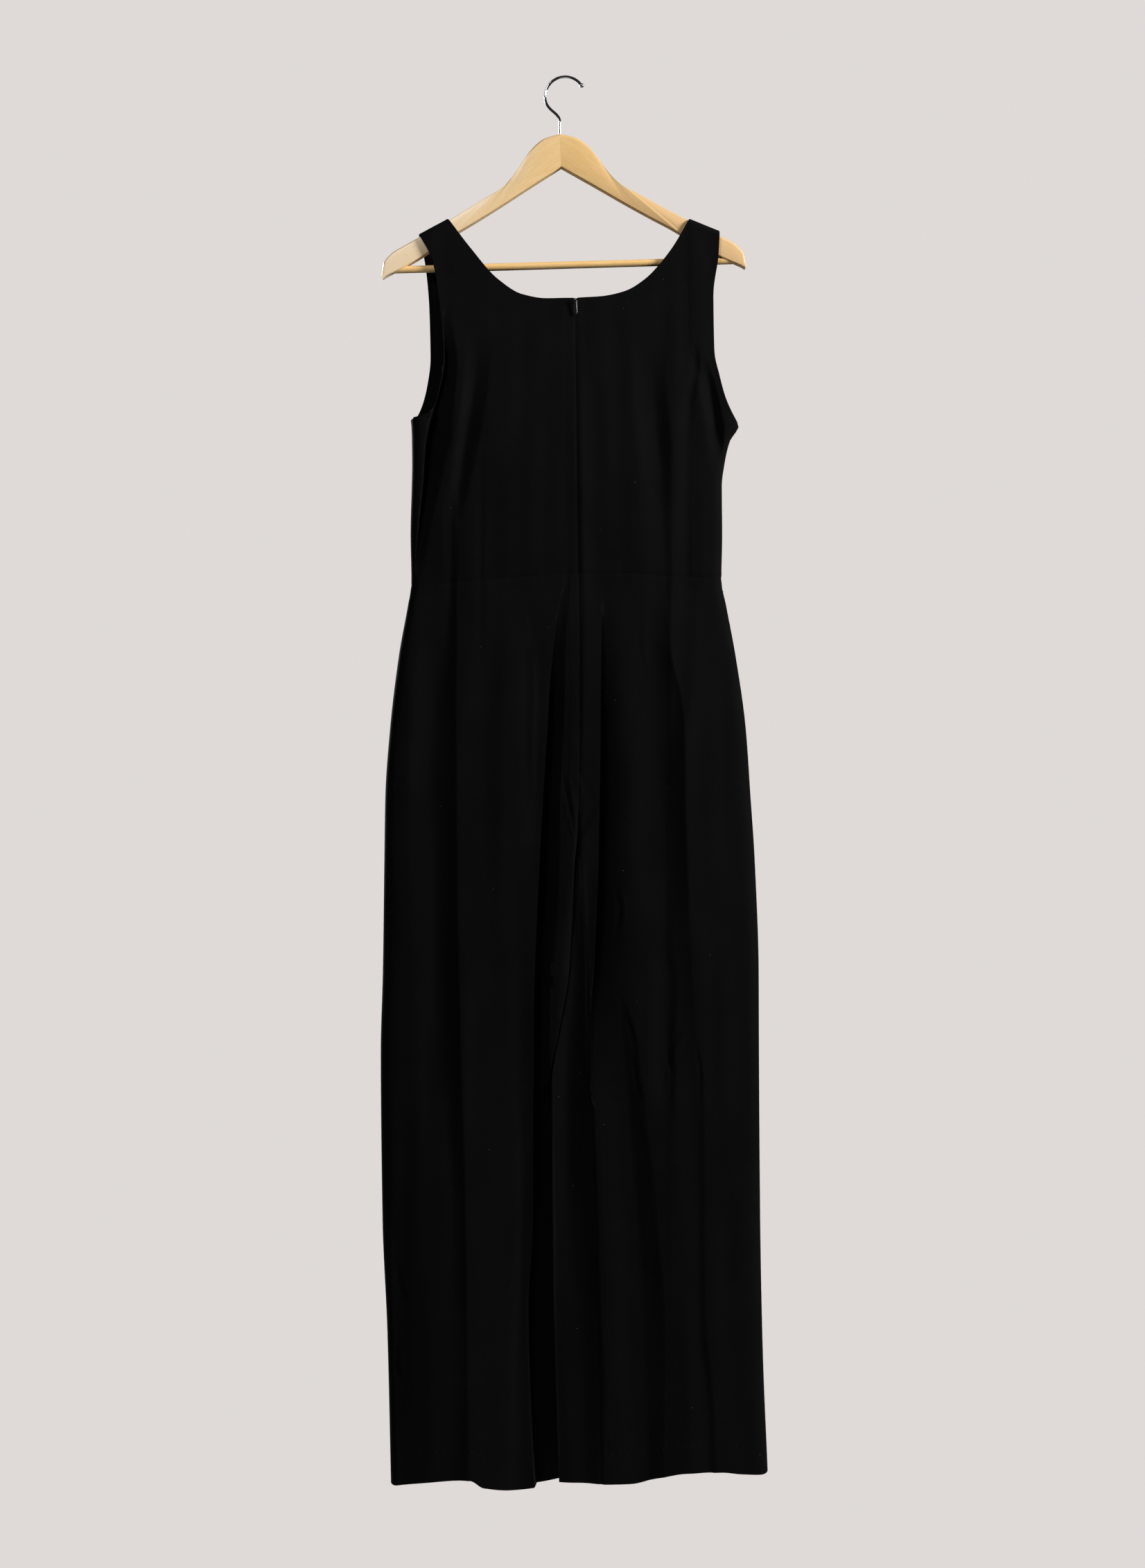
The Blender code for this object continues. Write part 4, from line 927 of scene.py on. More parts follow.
def softened(values: Array, rounds: int) -> Array:
    """Moves each value a third towards each neighbour along its rows.

    Args:
        values: a grid of values.
        rounds: how many times.

    Returns:
        The softened grid.
    """
    for _ in range(rounds):
        padded = np.concatenate([values[:, :1], values, values[:, -1:]], axis=1)
        values = (padded[:, :-2] + padded[:, 1:-1] + padded[:, 2:]) / 3
    return values


def arc_lengths(grid: Array, axis: int) -> Array:
    """Distances along the cloth, added up from point to point.

    Args:
        grid: a grid of points.
        axis: 0 for the distances from its first row, 1 for those from its first column.

    Returns:
        Each point's distance.
    """
    steps = np.linalg.norm(np.diff(grid, axis=axis), axis=2)
    start = np.zeros_like(np.take(steps, [0], axis=axis))
    return np.cumsum(np.concatenate([start, steps], axis=axis), axis=axis)


# ---------------------------------------------------------------- cloth


class Edge(IntEnum):
    """The four borders of a panel's grid: its first and last row, and its first and last column."""

    TOP = 0
    BOTTOM = 1
    SIDE = 2
    CENTRE = 3


@dataclass(frozen=True)
class SeamRelief:
    """What sewing does to the cloth beside a seam.

    roll is how far its edge turns in and over what width; allowance is how much the pressed allowance
    lifts the cloth and how wide it is; pucker is the height and length of the ripples along the seam.
    """

    roll: float = 0.32
    roll_width: float = 1.4
    allowance: float = 0.22
    allowance_width: float = 11.0
    allowance_edge: float = 2.2
    pucker: float = 0.13
    pucker_length: float = 13.0
    pucker_drift: float = 0.35
    drift_length: float = 41.0

    def lowered(self, away: Array, place: Array) -> Array:
        """How far the cloth is pressed in: a bell at the seam, less the allowance's thickness, plus
        ripples that die out over three roll widths.

        Args:
            away: each point's distance from the seam.
            place: its distance along the seam.

        Returns:
            The depth at each point.
        """
        roll = self.roll * np.exp(-((away / self.roll_width) ** 2))
        lift = self.allowance * (1 - slope_up(away - self.allowance_width, self.allowance_edge))
        drift = self.pucker_drift * np.sin(place / self.drift_length)
        wave = np.sin(2 * np.pi * (place / self.pucker_length + drift))
        return roll - lift + self.pucker * wave * np.exp(-((away / (3 * self.roll_width)) ** 2))


@dataclass
class Layer:
    """One grid of points on a panel's outer face, from its top border down and its side border inwards.

    sewn gives the relief of each sewn border, and sewn_below the row from which a side border is sewn:
    above it the border is a turned edge, as at a neckline or armhole. The relief sets in over
    onset_rows.
    """

    grid: Array
    outward: int
    sewn: dict[Edge, SeamRelief]
    sewn_below: dict[Edge, int] = field(default_factory=dict)
    onset_rows: int = 5

    def sewn_rows(self, edge: Edge) -> Array:
        """1 on the rows where a side border is sewn, rising to it over the onset, and 0 above them."""
        below = np.arange(len(self.grid)) - self.sewn_below.get(edge, -self.onset_rows)
        return np.clip(below / self.onset_rows, 0, 1)

    def relieved(self) -> Array:
        """The grid with the relief of its seams, and its sewn borders drawn back by half the gap.

        Returns:
            The points, in the shape of the grid.
        """
        grid = self.grid.copy()
        down, across = arc_lengths(grid, 0), arc_lengths(grid, 1)
        away = {Edge.TOP: down, Edge.BOTTOM: down[-1:] - down}
        away |= {Edge.SIDE: across, Edge.CENTRE: across[:, -1:] - across}
        lowered = np.zeros(grid.shape[:2])
        for edge, relief in self.sewn.items():
            level_border = edge in (Edge.TOP, Edge.BOTTOM)
            share = 1.0 if level_border else self.sewn_rows(edge)[:, None]
            lowered += relief.lowered(away[edge], across if level_border else down) * share
        grid -= surface_normals(grid, self.outward) * lowered[..., None]
        rows = grid.transpose(1, 0, 2)
        lines = {Edge.TOP: (grid, 0, 1), Edge.BOTTOM: (grid, -1, -2)}
        lines |= {Edge.SIDE: (rows, 0, 1), Edge.CENTRE: (rows, -1, -2)}
        for edge in self.sewn:
            line, border, inside = lines[edge]
            at = slice(self.sewn_below.get(edge, 0), None)
            line[border][at] += unit(line[inside][at] - line[border][at]) * SEAM / 2
        return grid

    def turned(self) -> Array:
        """Where the layer's edge is turned in rather than sewn.

        Returns:
            1 at the points of borders that aren't sewn, and 0 elsewhere.
        """
        free = np.ones(self.grid.shape[:2])
        free[1:-1, 1:-1] = 0
        borders = {Edge.TOP: (0, slice(None)), Edge.BOTTOM: (-1, slice(None))}
        for edge in self.sewn:
            below = slice(self.sewn_below.get(edge, 0), None)
            borders |= {Edge.SIDE: (below, 0), Edge.CENTRE: (below, -1)}
            free[borders[edge]] = 0
        return free


@dataclass
class Panel:
    """One cut and sewn piece of cloth, of one or two layers' grids that are welded where they meet.

    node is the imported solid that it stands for, flat the size of the cloth it was cut from and area the
    cut's own area, both in metres.
    """

    node: str
    layers: list[Layer]
    flat: tuple[float, float]
    area: float
    turned_edge: float = 0.45
    weld_decimals: int = 2

    @property
    def name(self) -> str:
        """The piece's own name."""
        return f"{self.node}_cloth"

    @property
    def carriers(self) -> list[str]:
        """What it hangs from.

        Returns:
            The nodes: the hanger's arms, or the bodice above a leg.
        """
        if self.node == "front_bodice":
            return ["hanger_arm_left", "hanger_arm_right"]
        if "bodice" in self.node:
            return [f"hanger_arm_{self.node.split('_')[-1]}"]
        return ["front_bodice"] if "front" in self.node else [self.node.replace("leg", "bodice")]

    def build(self) -> bpy.types.Object:
        """The closed wall: the outer face, an inner face one cloth's thickness in, and round rims.

        Returns:
            The object.
        """
        points, normals, uv, free, quads, count = [], [], [], [], [], 0
        for layer in self.layers:
            grid = layer.relieved()
            rows, columns = grid.shape[:2]
            quads.append(grid_faces(rows, columns, turned=layer.outward < 0) + count)
            points.append(grid.reshape(-1, 3))
            normals.append(softened(surface_normals(grid, layer.outward), 2).reshape(-1, 3))
            from_centre = arc_lengths(grid[:, ::-1], 1)[:, ::-1] * layer.outward
            uv.append(np.stack([from_centre, -arc_lengths(grid, 0)], axis=2).reshape(-1, 2) * MM)
            free.append(layer.turned().ravel())
            count += rows * columns
        points, normals, uv, free, quads = map(np.concatenate, (points, normals, uv, free, quads))
        near = np.round(points, self.weld_decimals)
        _, first, which = np.unique(near, axis=0, return_index=True, return_inverse=True)
        which = which.reshape(-1)
        shared = np.zeros((len(first), 3))
        np.add.at(shared, which, normals)
        return self.wall(points[first], unit(shared), uv[first], free[first], which[quads])

    def wall(self, points: Array, normals: Array, uv: Array, free: Array, quads: Array) -> bpy.types.Object:
        """Makes the closed wall from its outer face.

        Args:
            points: the outer face's points.
            normals: its outward directions.
            uv: the points' places on the flat cloth.
            free: 1 at the points of turned edges, which get a rounder rim.
            quads: its quads, facing out.

        Returns:
            The object.
        """
        count = len(points)
        edges = np.concatenate([quads[:, [i, (i + 1) % 4]] for i in range(4)])
        key = np.sort(edges, axis=1)
        _, where, times = np.unique(key, axis=0, return_inverse=True, return_counts=True)
        rim = edges[times[where.reshape(-1)] == 1]
        out = np.zeros((count, 3))
        along_rim = np.cross(unit(points[rim[:, 1]] - points[rim[:, 0]]), normals[rim[:, 0]])
        for end in (0, 1):
            np.add.at(out, rim[:, end], along_rim)
        border, ring = np.unique(rim, return_inverse=True)
        ring = ring.reshape(rim.shape) + 2 * count
        inside = points - normals * CLOTH
        middle = (points + inside) / 2 + unit(out) * (free * self.turned_edge)[:, None]
        outer_rim = np.stack([rim[:, 1], rim[:, 0], ring[:, 0], ring[:, 1]], axis=1)
        inner_rim = np.stack([ring[:, 1], ring[:, 0], rim[:, 0] + count, rim[:, 1] + count], axis=1)
        faces = np.concatenate([quads, quads[:, ::-1] + count, outer_rim, inner_rim])
        everywhere = np.concatenate([points, inside, middle[border]])
        return new_mesh(self.name, everywhere, faces, np.concatenate([uv, uv, uv[border]]))


def finely(coarse: Array, pitch: float) -> Array:
    """Puts more stations between those given, evenly.

    Args:
        coarse: the stations.
        pitch: how far apart they may be.

    Returns:
        All the stations.
    """
    pairs = list(zip(coarse[:-1], coarse[1:]))
    parts = [np.linspace(a, b, max(1, math.ceil(abs(b - a) / pitch)), endpoint=False) for a, b in pairs]
    return np.concatenate([*parts, coarse[-1:]])


def in_order(side: Side, start: Array, keys: list[Array], limit: Array) -> list[Array]:
    """Keeps key columns apart, in their order from the side seam inwards.

    Args:
        side: the leg, which says what way inwards is.
        start: the column that they follow.
        keys: the columns, each by height.
        limit: the column that they stay short of.

    Returns:
        The columns, at least the least spacing apart.
    """
    inwards = np.sort(-side * np.array(keys), axis=0)
    inwards[0] = np.maximum(inwards[0], -side * start + LEAST_SPACING)
    for i in range(1, len(inwards)):
        inwards[i] = np.maximum(inwards[i], inwards[i - 1] + LEAST_SPACING)
    bound = -side * limit
    for i in range(len(inwards) - 1, -1, -1):
        inwards[i] = np.minimum(inwards[i], bound - LEAST_SPACING)
        bound = inwards[i]
    return list(-side * inwards)


def between(start: Array, end: Array, parts: tuple[float, ...] | Array) -> list[Array]:
    """Places on the way from start to end, by the parts of that way."""
    return [start + (end - start) * part for part in parts]


@dataclass
class Trousers:
    """The four trouser panels, from the waist seam to the hem, and how they meet at the crotch.

    The rows lie at key heights and the columns at key places, which follow the folds, with even steps
    between them that are no longer than the pitches.
    """

    row_pitch: float = 5.2
    column_pitch: float = 2.9
    key_rows: tuple[float, ...] = (
        -616, -640, -680, -725, -790, -850, -893, -935, -963, -1025, -1216, -1712
    )
    side_steps: tuple[float, ...] = (0.0, 0.5, 1.5, 3.5, 7.0, 14.0)  # where the section turns at its side

    def fold_keys(self, side: Side, face: Face, z: Array) -> list[Array]:
        """Key columns of a panel: the feet and the banks' tops of the folds that run down it.

        Args:
            side: the panel's leg.
            face: its layer.
            z: the rows' heights.

        Returns:
            The columns' x by height.
        """
        at = {name: fold.marks(z) for name, fold in FOLDS[face].items()}
        if (side, face) == (Side.LEFT, Face.BACK):
            (_, foot, lip), valley = at["left_pleat"], at["inner_valley"]
            return [foot, lip - 7, lip, lip + 3, lip + 14, valley[0] - 12, *valley]
        if (side, face) == (Side.RIGHT, Face.BACK):
            near, (_, dart, lip) = at["right_of_seam"], at["right_dart_valley"]
            middle, far = at["right_leg_middle"], at["right_leg_outer"]
            by_lip = [lip + 3, lip, lip - 7]
            return [far[2], far[1], *by_lip, dart, *middle[1:], near[1] + 12, near[1], near[0]]
        crease, near = (at[f"{side.word}_{name}"][1] for name in ("crease", "inner"))
        last = near - side * (24 if side == Side.LEFT else 20)
        by_crease = [crease + side * 30, crease + side * 10, crease, crease - side * 5]
        return [*by_crease, near + side * 7, near, last]

    def hip_keys(self, side: Side, face: Face, z: Array, folds: list[Array]) -> tuple[list, list]:
        """Key columns near the centre seam, above the crotch.

        Args:
            side: the panel's leg.
            face: its layer.
            z: the rows' heights.
            folds: the panel's fold keys.

        Returns:
            Its last fold keys, and its end keys at the centre seam.
        """
        centre = read(CENTRE[face], z)
        tape = centre + side * TAPE_WIDTH
        if face == Face.FRONT:
            steps = 5 if side == Side.LEFT else 12
            return [], between(folds[-1], centre, np.arange(1, steps + 1) / steps)
        if side == Side.LEFT:
            return between(folds[-1], tape, (0.35, 0.7)), between(tape, centre, (0, 0.5, 0.9, 1))
        return [], [tape, centre]

    def leg_keys(self, side: Side, face: Face, z: Array, folds: list[Array]) -> tuple[list, list]:
        """The same below the crotch, where the right front goes round its inner fold to the inseam.

        Args:
            side: the panel's leg.
            face: its layer.
            z: the rows' heights.
            folds: the panel's fold keys.

        Returns:
            Its last fold keys, and its end keys at the inner edge or inseam.
        """
        inner, inseam = read_column(LEGS, f"{side.word}_in", z), read_column(LEGS, "inseam", z)
        if (side, face) == (Side.LEFT, Face.BACK):
            dive = read_column(LEGS, "dive", z)
            under = np.minimum(dive + DIVE_BANK, inner - 1 - LEAST_SPACING)
            return between(dive, under, (0, 0.35, 0.7, 1)), [inner - 1, inner]
        if side == Side.LEFT:
            return [], between(folds[-1], inner, (0.35, 0.7, 0.87, 0.96, 1))
        if face == Face.BACK:
            return [], [inseam + 0.6 * TAPE_WIDTH, inseam]
        bank = read_column(LEGS, "left_in", z) + TOE_STEP + TOE_BANK
        front = between(bank, inner, (0, 0.17, 0.34, 0.5, 0.72, 0.88, 0.96, 1))
        width = inseam - inner
        back = [inner + np.minimum(3, 0.3 * width), inner + np.minimum(14, 0.6 * width)]
        return [], front + back + between(inner, inseam, (0.8, 1))

    def key_columns(self, side: Side, face: Face, z: Array, below: bool) -> list[Array]:
        """All of a panel's key columns from its side seam inwards.

        Args:
            side: the panel's leg.
            face: its layer.
            z: the rows' heights.
            below: True for those of the leg, False for those of the hips.

        Returns:
            The columns' x by height.
        """
        outer = read_column(SECTIONS, side.word, z)
        rounded = [outer - side * away for away in self.side_steps]
        folds = self.fold_keys(side, face, z)
        more, ends = (self.leg_keys if below else self.hip_keys)(side, face, z, folds)
        return rounded + in_order(side, rounded[-1], folds + more, ends[0]) + ends

    def grid(self, side: Side, face: Face) -> Array:
        """A panel's points: hips above the crotch, a leg below it, and between them the rise seam's
        swing, which grows with the square of the way down to the crotch.

        Args:
            side: the panel's leg.
            face: its layer.

        Returns:
            The points by row and column.
        """
        z = finely(np.array(self.key_rows, float), self.row_pitch)
        hips, legs = (self.key_columns(side, face, z, below) for below in (False, True))
        widest = np.maximum(*(np.abs(np.diff(keys, axis=0)) for keys in (hips, legs)))
        steps = [max(2, math.ceil(float(np.mean(width)) / self.column_pitch)) for width in widest]
        hip_x, leg_x = (self.spread(keys, steps) for keys in (hips, legs))
        wrap = sum(steps[: len(steps) - 4])
        near_waist = 1 - slope_up(z[0] - z, WAIST_ROUNDING)
        hip_z = z[:, None] + (read(WAIST, hip_x) - z[0]) * near_waist[:, None]
        hip_x[:, 0] = read_column(SECTIONS, side.word, hip_z[:, 0])
        at_hip = np.stack([hip_x, torso_y(face, hip_x, hip_z), hip_z], axis=2)
        level_z = np.repeat(z[:, None], leg_x.shape[1], axis=1)
        leg = leg_y(side, face, leg_x, level_z)
        goes_round = (side, face) == (Side.RIGHT, Face.FRONT)
        if goes_round:
            leg[:, wrap + 1 :] = leg_y(side, Face.BACK, leg_x, level_z)[:, wrap + 1 :]
        near_hem = 1 - slope_up(level_z - z[-1], HEM_ROUNDING)
        at_leg = np.stack([leg_x, leg, level_z + (read(HEMS[side], leg_x) - z[-1]) * near_hem], axis=2)
        swing = (np.clip((CROTCH + CROTCH_CURVE - z) / CROTCH_CURVE, 0, 1) ** 2)[:, None, None]
        blended = at_hip * (1 - swing) + at_leg * swing
        if face == Face.BACK:
            return leaned(face, blended)
        if goes_round:
            blended[:, wrap + 1 :] = leaned(Face.BACK, blended[:, wrap + 1 :])
        return blended

    @staticmethod
    def spread(keys: list[Array], steps: list[int]) -> Array:
        """Columns with even steps between each two key columns.

        Args:
            keys: the key columns' x by height.
            steps: how many steps lie between each two.

        Returns:
            The x of all columns, by row and column.
        """
        columns = [
            left + (right - left) * part
            for left, right, count in zip(keys[:-1], keys[1:], steps)
            for part in np.arange(count) / count
        ]
        return np.stack([*columns, keys[-1]], axis=1)

    def panels(self) -> list[Panel]:
        """The four panels, each sewn at its waist, side seam and rise or inseam.

        Returns:
            The panels, backs first.
        """
        seam, waist = SeamRelief(), SeamRelief(roll=0.5, allowance=0.25, allowance_width=7.0)
        sewn = {Edge.TOP: waist, Edge.SIDE: seam, Edge.CENTRE: seam}
        made = []
        for face in Face:
            for side in Side:
                name = f"{face.name.lower()}_leg_{side.word}"
                layer = Layer(self.grid(side, face), face * side, sewn)
                made.append(Panel(name, [layer], *CUTS[name]))
        return made


@dataclass
class Bodice:
    """The two back halves and the front of the bodice, from the shoulder seams to the waist seam.

    The places count the points of the armhole's and the neckline's tables, which the rows join.
    """

    neck_places: tuple[float, ...] = (0.35, 1.0, 1.7, 2.4, 3.2, 4.1, 5.0, 6.0)
    arm_places: tuple[float, ...] = (0.3, 0.7, 1.1, 1.5, 1.9, 2.3, 2.7, 3.0)
    underarm_places: tuple[float, ...] = (3.7, 4.5, 5.3, 7.0)
    bend_parts: tuple[float, ...] = (0, 0.01, 0.03, 0.07, 0.14, 0.25, 0.42, 0.65)
    bend_end: tuple[float, float] = (0.17, 0.14)  # places on armhole and neckline where the bend ends
    centre_upper: tuple[float, ...] = (-315, -348, -384, -418)
    rows_between: int = 6
    rows_below: int = 36  # from the underarm to the waist
    columns: int = 84
    side_crowding: float = 1.35
    centre_parts: tuple[float, ...] = (0.3, 0.6, 0.8, 0.92, 1.0)  # across the last strip, one tape wide

    @property
    def open_rows(self) -> dict[Edge, int]:
        """Where a layer isn't sewn.

        Returns:
            How many of its rows end at the armhole and at the neckline.
        """
        places = {Edge.SIDE: (*self.arm_places, *self.underarm_places), Edge.CENTRE: self.neck_places}
        bend = len(self.bend_parts)
        return {edge: (bend + len(at) - 1) * self.rows_between for edge, at in places.items()}

    def borders(self, face: Face, side: Side) -> tuple[Array, Array]:
        """The two ends of each row of half a layer: they go down the armhole and side seam, and down
        the neckline and centre line, together.

        Args:
            face: the layer.
            side: the half.

        Returns:
            The (x, z) of the outer ends and of the inner ends.
        """
        bend = np.array(self.bend_parts)
        arm_t = np.concatenate([bend * self.bend_end[0], self.arm_places, self.underarm_places])
        neck_t = np.concatenate([bend * self.bend_end[1], self.neck_places])
        keys = np.arange(len(arm_t))
        on_neck = len(neck_t)
        fine = np.linspace(0, keys[-1], (len(arm_t) - 1) * self.rows_between + 1)
        arm_x, arm_z = along(ARMHOLES[face, side], np.interp(fine, keys, arm_t))
        neck_x, neck_z = along(NECKLINES[face, side], np.interp(fine, keys[:on_neck], neck_t))
        centre_keys = np.concatenate([[NECKLINES[face, side][-1][1]], self.centre_upper])
        centre_z = np.interp(fine, np.arange(len(centre_keys)) + on_neck - 1, centre_keys)
        above = fine <= on_neck - 1
        down = np.linspace(0, 1, self.rows_below + 1)[1:]
        waist_side, waist_centre = read(WAIST, side * 190.0), read(WAIST, 15.0)
        side_z = arm_z[-1] + (waist_side - arm_z[-1]) * down
        lower_z = self.centre_upper[-1] + (waist_centre - self.centre_upper[-1]) * down
        centre_z = np.concatenate([centre_z, lower_z])
        seam = np.stack([read_column(SECTIONS, side.word, side_z), side_z], axis=1)
        outer = np.concatenate([np.stack([arm_x, arm_z], axis=1), seam])
        inner = np.stack([read(CENTRE[face], centre_z), centre_z], axis=1)
        inner[: len(fine)][above] = np.stack([neck_x, neck_z], axis=1)[above]
        return outer, inner

    def half(self, face: Face, side: Side) -> Array:
        """Half a layer's points: straight rows between the two borders, crowded towards the side.

        Args:
            face: the layer.
            side: the half.

        Returns:
            The points by row and column.
        """
        outer, inner = self.borders(face, side)
        width = np.linalg.norm(inner - outer, axis=1)
        part = (1 - TAPE_WIDTH / width)[:, None]
        across = np.linspace(0, 1, self.columns) ** self.side_crowding * part
        ends = part + (1 - part) * np.array(self.centre_parts)
        across = np.concatenate([across, ends], axis=1)[..., None]
        xz = outer[:, None] + (inner - outer)[:, None] * across
        x, z = xz[..., 0], xz[..., 1]
        z[-1] = read(WAIST, x[-1])
        flat = np.stack([x, torso_y(face, x, z), z], axis=2)
        return leaned(face, flat) if face == Face.BACK else flat

    def panels(self) -> list[Panel]:
        """The back halves, which meet at the zip, and the front, which is one piece.

        Returns:
            The panels, backs first.
        """
        waist = SeamRelief(roll=0.5, allowance=0.12, allowance_width=6.0)
        shoulder = SeamRelief(roll=0.3, roll_width=1.2, allowance=0.0, pucker=0.0)
        zip_edge = SeamRelief(roll=0.6, roll_width=1.5, allowance=0.3, allowance_width=8.5, pucker=0.2)
        sewn = {Edge.TOP: shoulder, Edge.BOTTOM: waist, Edge.SIDE: SeamRelief()}
        to_zip = {Edge.TOP: shoulder, Edge.BOTTOM: waist, Edge.CENTRE: zip_edge, Edge.SIDE: SeamRelief()}
        below = {Edge.SIDE: self.open_rows[Edge.SIDE]}
        made = []
        for side in Side:
            name = f"back_bodice_{side.word}"
            layer = Layer(self.half(Face.BACK, side), -side, to_zip, self.open_rows)
            made.append(Panel(name, [layer], *CUTS[name]))
        layers = [Layer(self.half(Face.FRONT, side), int(side), sewn, below) for side in Side]
        made.append(Panel("front_bodice", layers, *CUTS["front_bodice"]))
        return made


# ---------------------------------------------------------------- zip fastener


@dataclass
class ZipFastener:
    """The concealed zip: two woven tapes, the coil between them, the slider and its pull tab."""

    behind: float = 1.95  # from the cloth's outer face to the tapes' outer face
    top: float = -284.6
    coil_top: float = -286.0
    coil_pitch: float = 1.3
    coil_wire: float = 0.27
    coil_width: float = 1.5
    coil_depth: float = 0.75
    slider_width: float = 6.2
    slider_depth: float = 3.9
    slider_top: float = -272.2
    slider_foot: float = -283.4
    slider_front: float = -11.3
    axis_y: float = -16.8
    axis_z: float = -275.5
    bridge_wire: float = 0.55
    bridge_radius: float = 1.8
    pull_thickness: float = 1.3
    pull_eye: tuple[float, float] = (-1.75, 1.0)  # the eye's middle below the axis, and its radius
    pull_sides: Table = (  # the drop's half widths by height, from its top to its foot
        (0, 0.8), (1.4, 0.5), (1.95, -0.6), (1.95, -3.0), (2.05, -8.0), (2.35, -13.5), (2.35, -16.3),
        (1.7, -18.2), (0, -18.7),
    )

    def cloth_at(self, x: Array, z: Array) -> tuple[Array, Array]:
        """The back layer's surface beside the centre seam, from steps of half a millimetre.

        Args:
            x: places across.
            z: their heights.

        Returns:
            The points on the surface, and its outward directions there.
        """
        step = 0.5
        surface = [
            np.stack([x + dx, torso_y(Face.BACK, x + dx, z + dz), z + dz], axis=-1)
            for dx, dz in ((0, 0), (step, 0), (0, step))
        ]
        normals = unit(np.cross(surface[1] - surface[0], surface[2] - surface[0]))
        return surface[0], normals

    def tape(self, side: Side) -> bpy.types.Object:
        """A tape: a strip behind the back panel's edge, whose surface follows the cloth's at a set depth
        and whose inner edge stands half a seam from the centre line.

        Args:
            side: which tape.

        Returns:
            The object.
        """
        z = np.linspace(self.top, ZIP_END, 170)[:, None]
        from_centre = np.array((SEAM / 2, 0.8, 2.5, 5.0, 8.0, TAPE_WIDTH))
        x = read(CENTRE[Face.BACK], z) + side * from_centre
        z = np.broadcast_to(z, x.shape)
        cloth, normals = self.cloth_at(x, z)
        front, back = (cloth - normals * depth for depth in (self.behind, self.behind + TAPE))
        ring = np.concatenate([front, back[:, ::-1]], axis=1)
        ring = closed_ends(ring, ring.mean(axis=1))
        faces = grid_faces(*ring.shape[:2], around=True, turned=side == Side.RIGHT)
        place = np.concatenate([from_centre, from_centre[::-1]])
        heights = np.concatenate([z[:1, 0], z[:, 0], z[-1:, 0]])
        uv = np.stack(np.broadcast_arrays(place[None], heights[:, None]), axis=2).reshape(-1, 2) * MM
        return new_mesh(f"zip_tape_woven_{side.word}", ring.reshape(-1, 3), faces, uv)

    def coil(self) -> bpy.types.Object:
        """The closed coil: one wire that winds flat loops down the centre line behind the tapes,
        (width sin a, depth cos a) at the angle a while it goes down one pitch a turn.

        Returns:
            The object.
        """
        turns = (self.coil_top - ZIP_END) / self.coil_pitch
        angle = np.linspace(0, 2 * np.pi * turns, int(turns * 9))
        z = self.coil_top - angle / (2 * np.pi) * self.coil_pitch
        x = read(CENTRE[Face.BACK], z)
        cloth, normals = self.cloth_at(x, z)
        inwards = self.behind + TAPE + self.coil_wire + self.coil_depth + 0.1
        across = np.array([1.0, 0.0, 0.0]) * (self.coil_width * np.sin(angle))[:, None]
        path = cloth - normals * (inwards - self.coil_depth * np.cos(angle))[:, None] + across
        points, faces = tube(path, self.coil_wire, 5)
        return new_mesh("zip_coil", points, faces)

    def slider(self) -> bpy.types.Object:
        """The slider: a rounded body, narrower at its foot, and the wire bridge the pull hangs from.

        Each level outline is a superellipse |x/a|^3 + |y/b|^3 = 1, whose half sizes shrink to a dome at
        the top and the foot.

        Returns:
            The object.
        """
        t = np.linspace(0, np.pi, 25)[:, None]
        turn = round_turn(28)[None]
        dome = np.sin(t) ** 0.35
        middle, half = (self.slider_top + self.slider_foot) / 2, (self.slider_top - self.slider_foot) / 2
        z = middle + half * np.cos(t)
        narrow = 1 - 0.28 * slope_up(middle - z, half)
        c, s = np.cos(turn), np.sin(turn)
        power = 2 / 3
        x = NOTCH_FOOT[0] + self.slider_width / 2 * dome * narrow * np.sign(c) * np.abs(c) ** power
        y = self.slider_front + self.slider_depth / 2 * (1 + dome * np.sign(s) * np.abs(s) ** power)
        body = np.stack(np.broadcast_arrays(x, y, z), axis=2)
        body_faces = grid_faces(*body.shape[:2], around=True)
        angle = np.linspace(np.pi / 2, -np.pi / 2, 17)
        loop_y = self.axis_y - self.bridge_radius * np.cos(angle)
        loop_z = self.axis_z + self.bridge_radius * np.sin(angle)
        deep = self.slider_front + self.slider_depth / 2
        y = np.concatenate([[deep], loop_y, [deep]])
        z = np.concatenate([loop_z[:1], loop_z, loop_z[-1:]])
        path = np.stack([np.full_like(y, NOTCH_FOOT[0]), y, z], axis=1)
        bridge, bridge_faces = tube(path, self.bridge_wire, 10)
        points = np.concatenate([body.reshape(-1, 3), bridge])
        faces = np.concatenate([body_faces, bridge_faces + body.shape[0] * body.shape[1]])
        return new_mesh("zip_slider_body", points, faces)

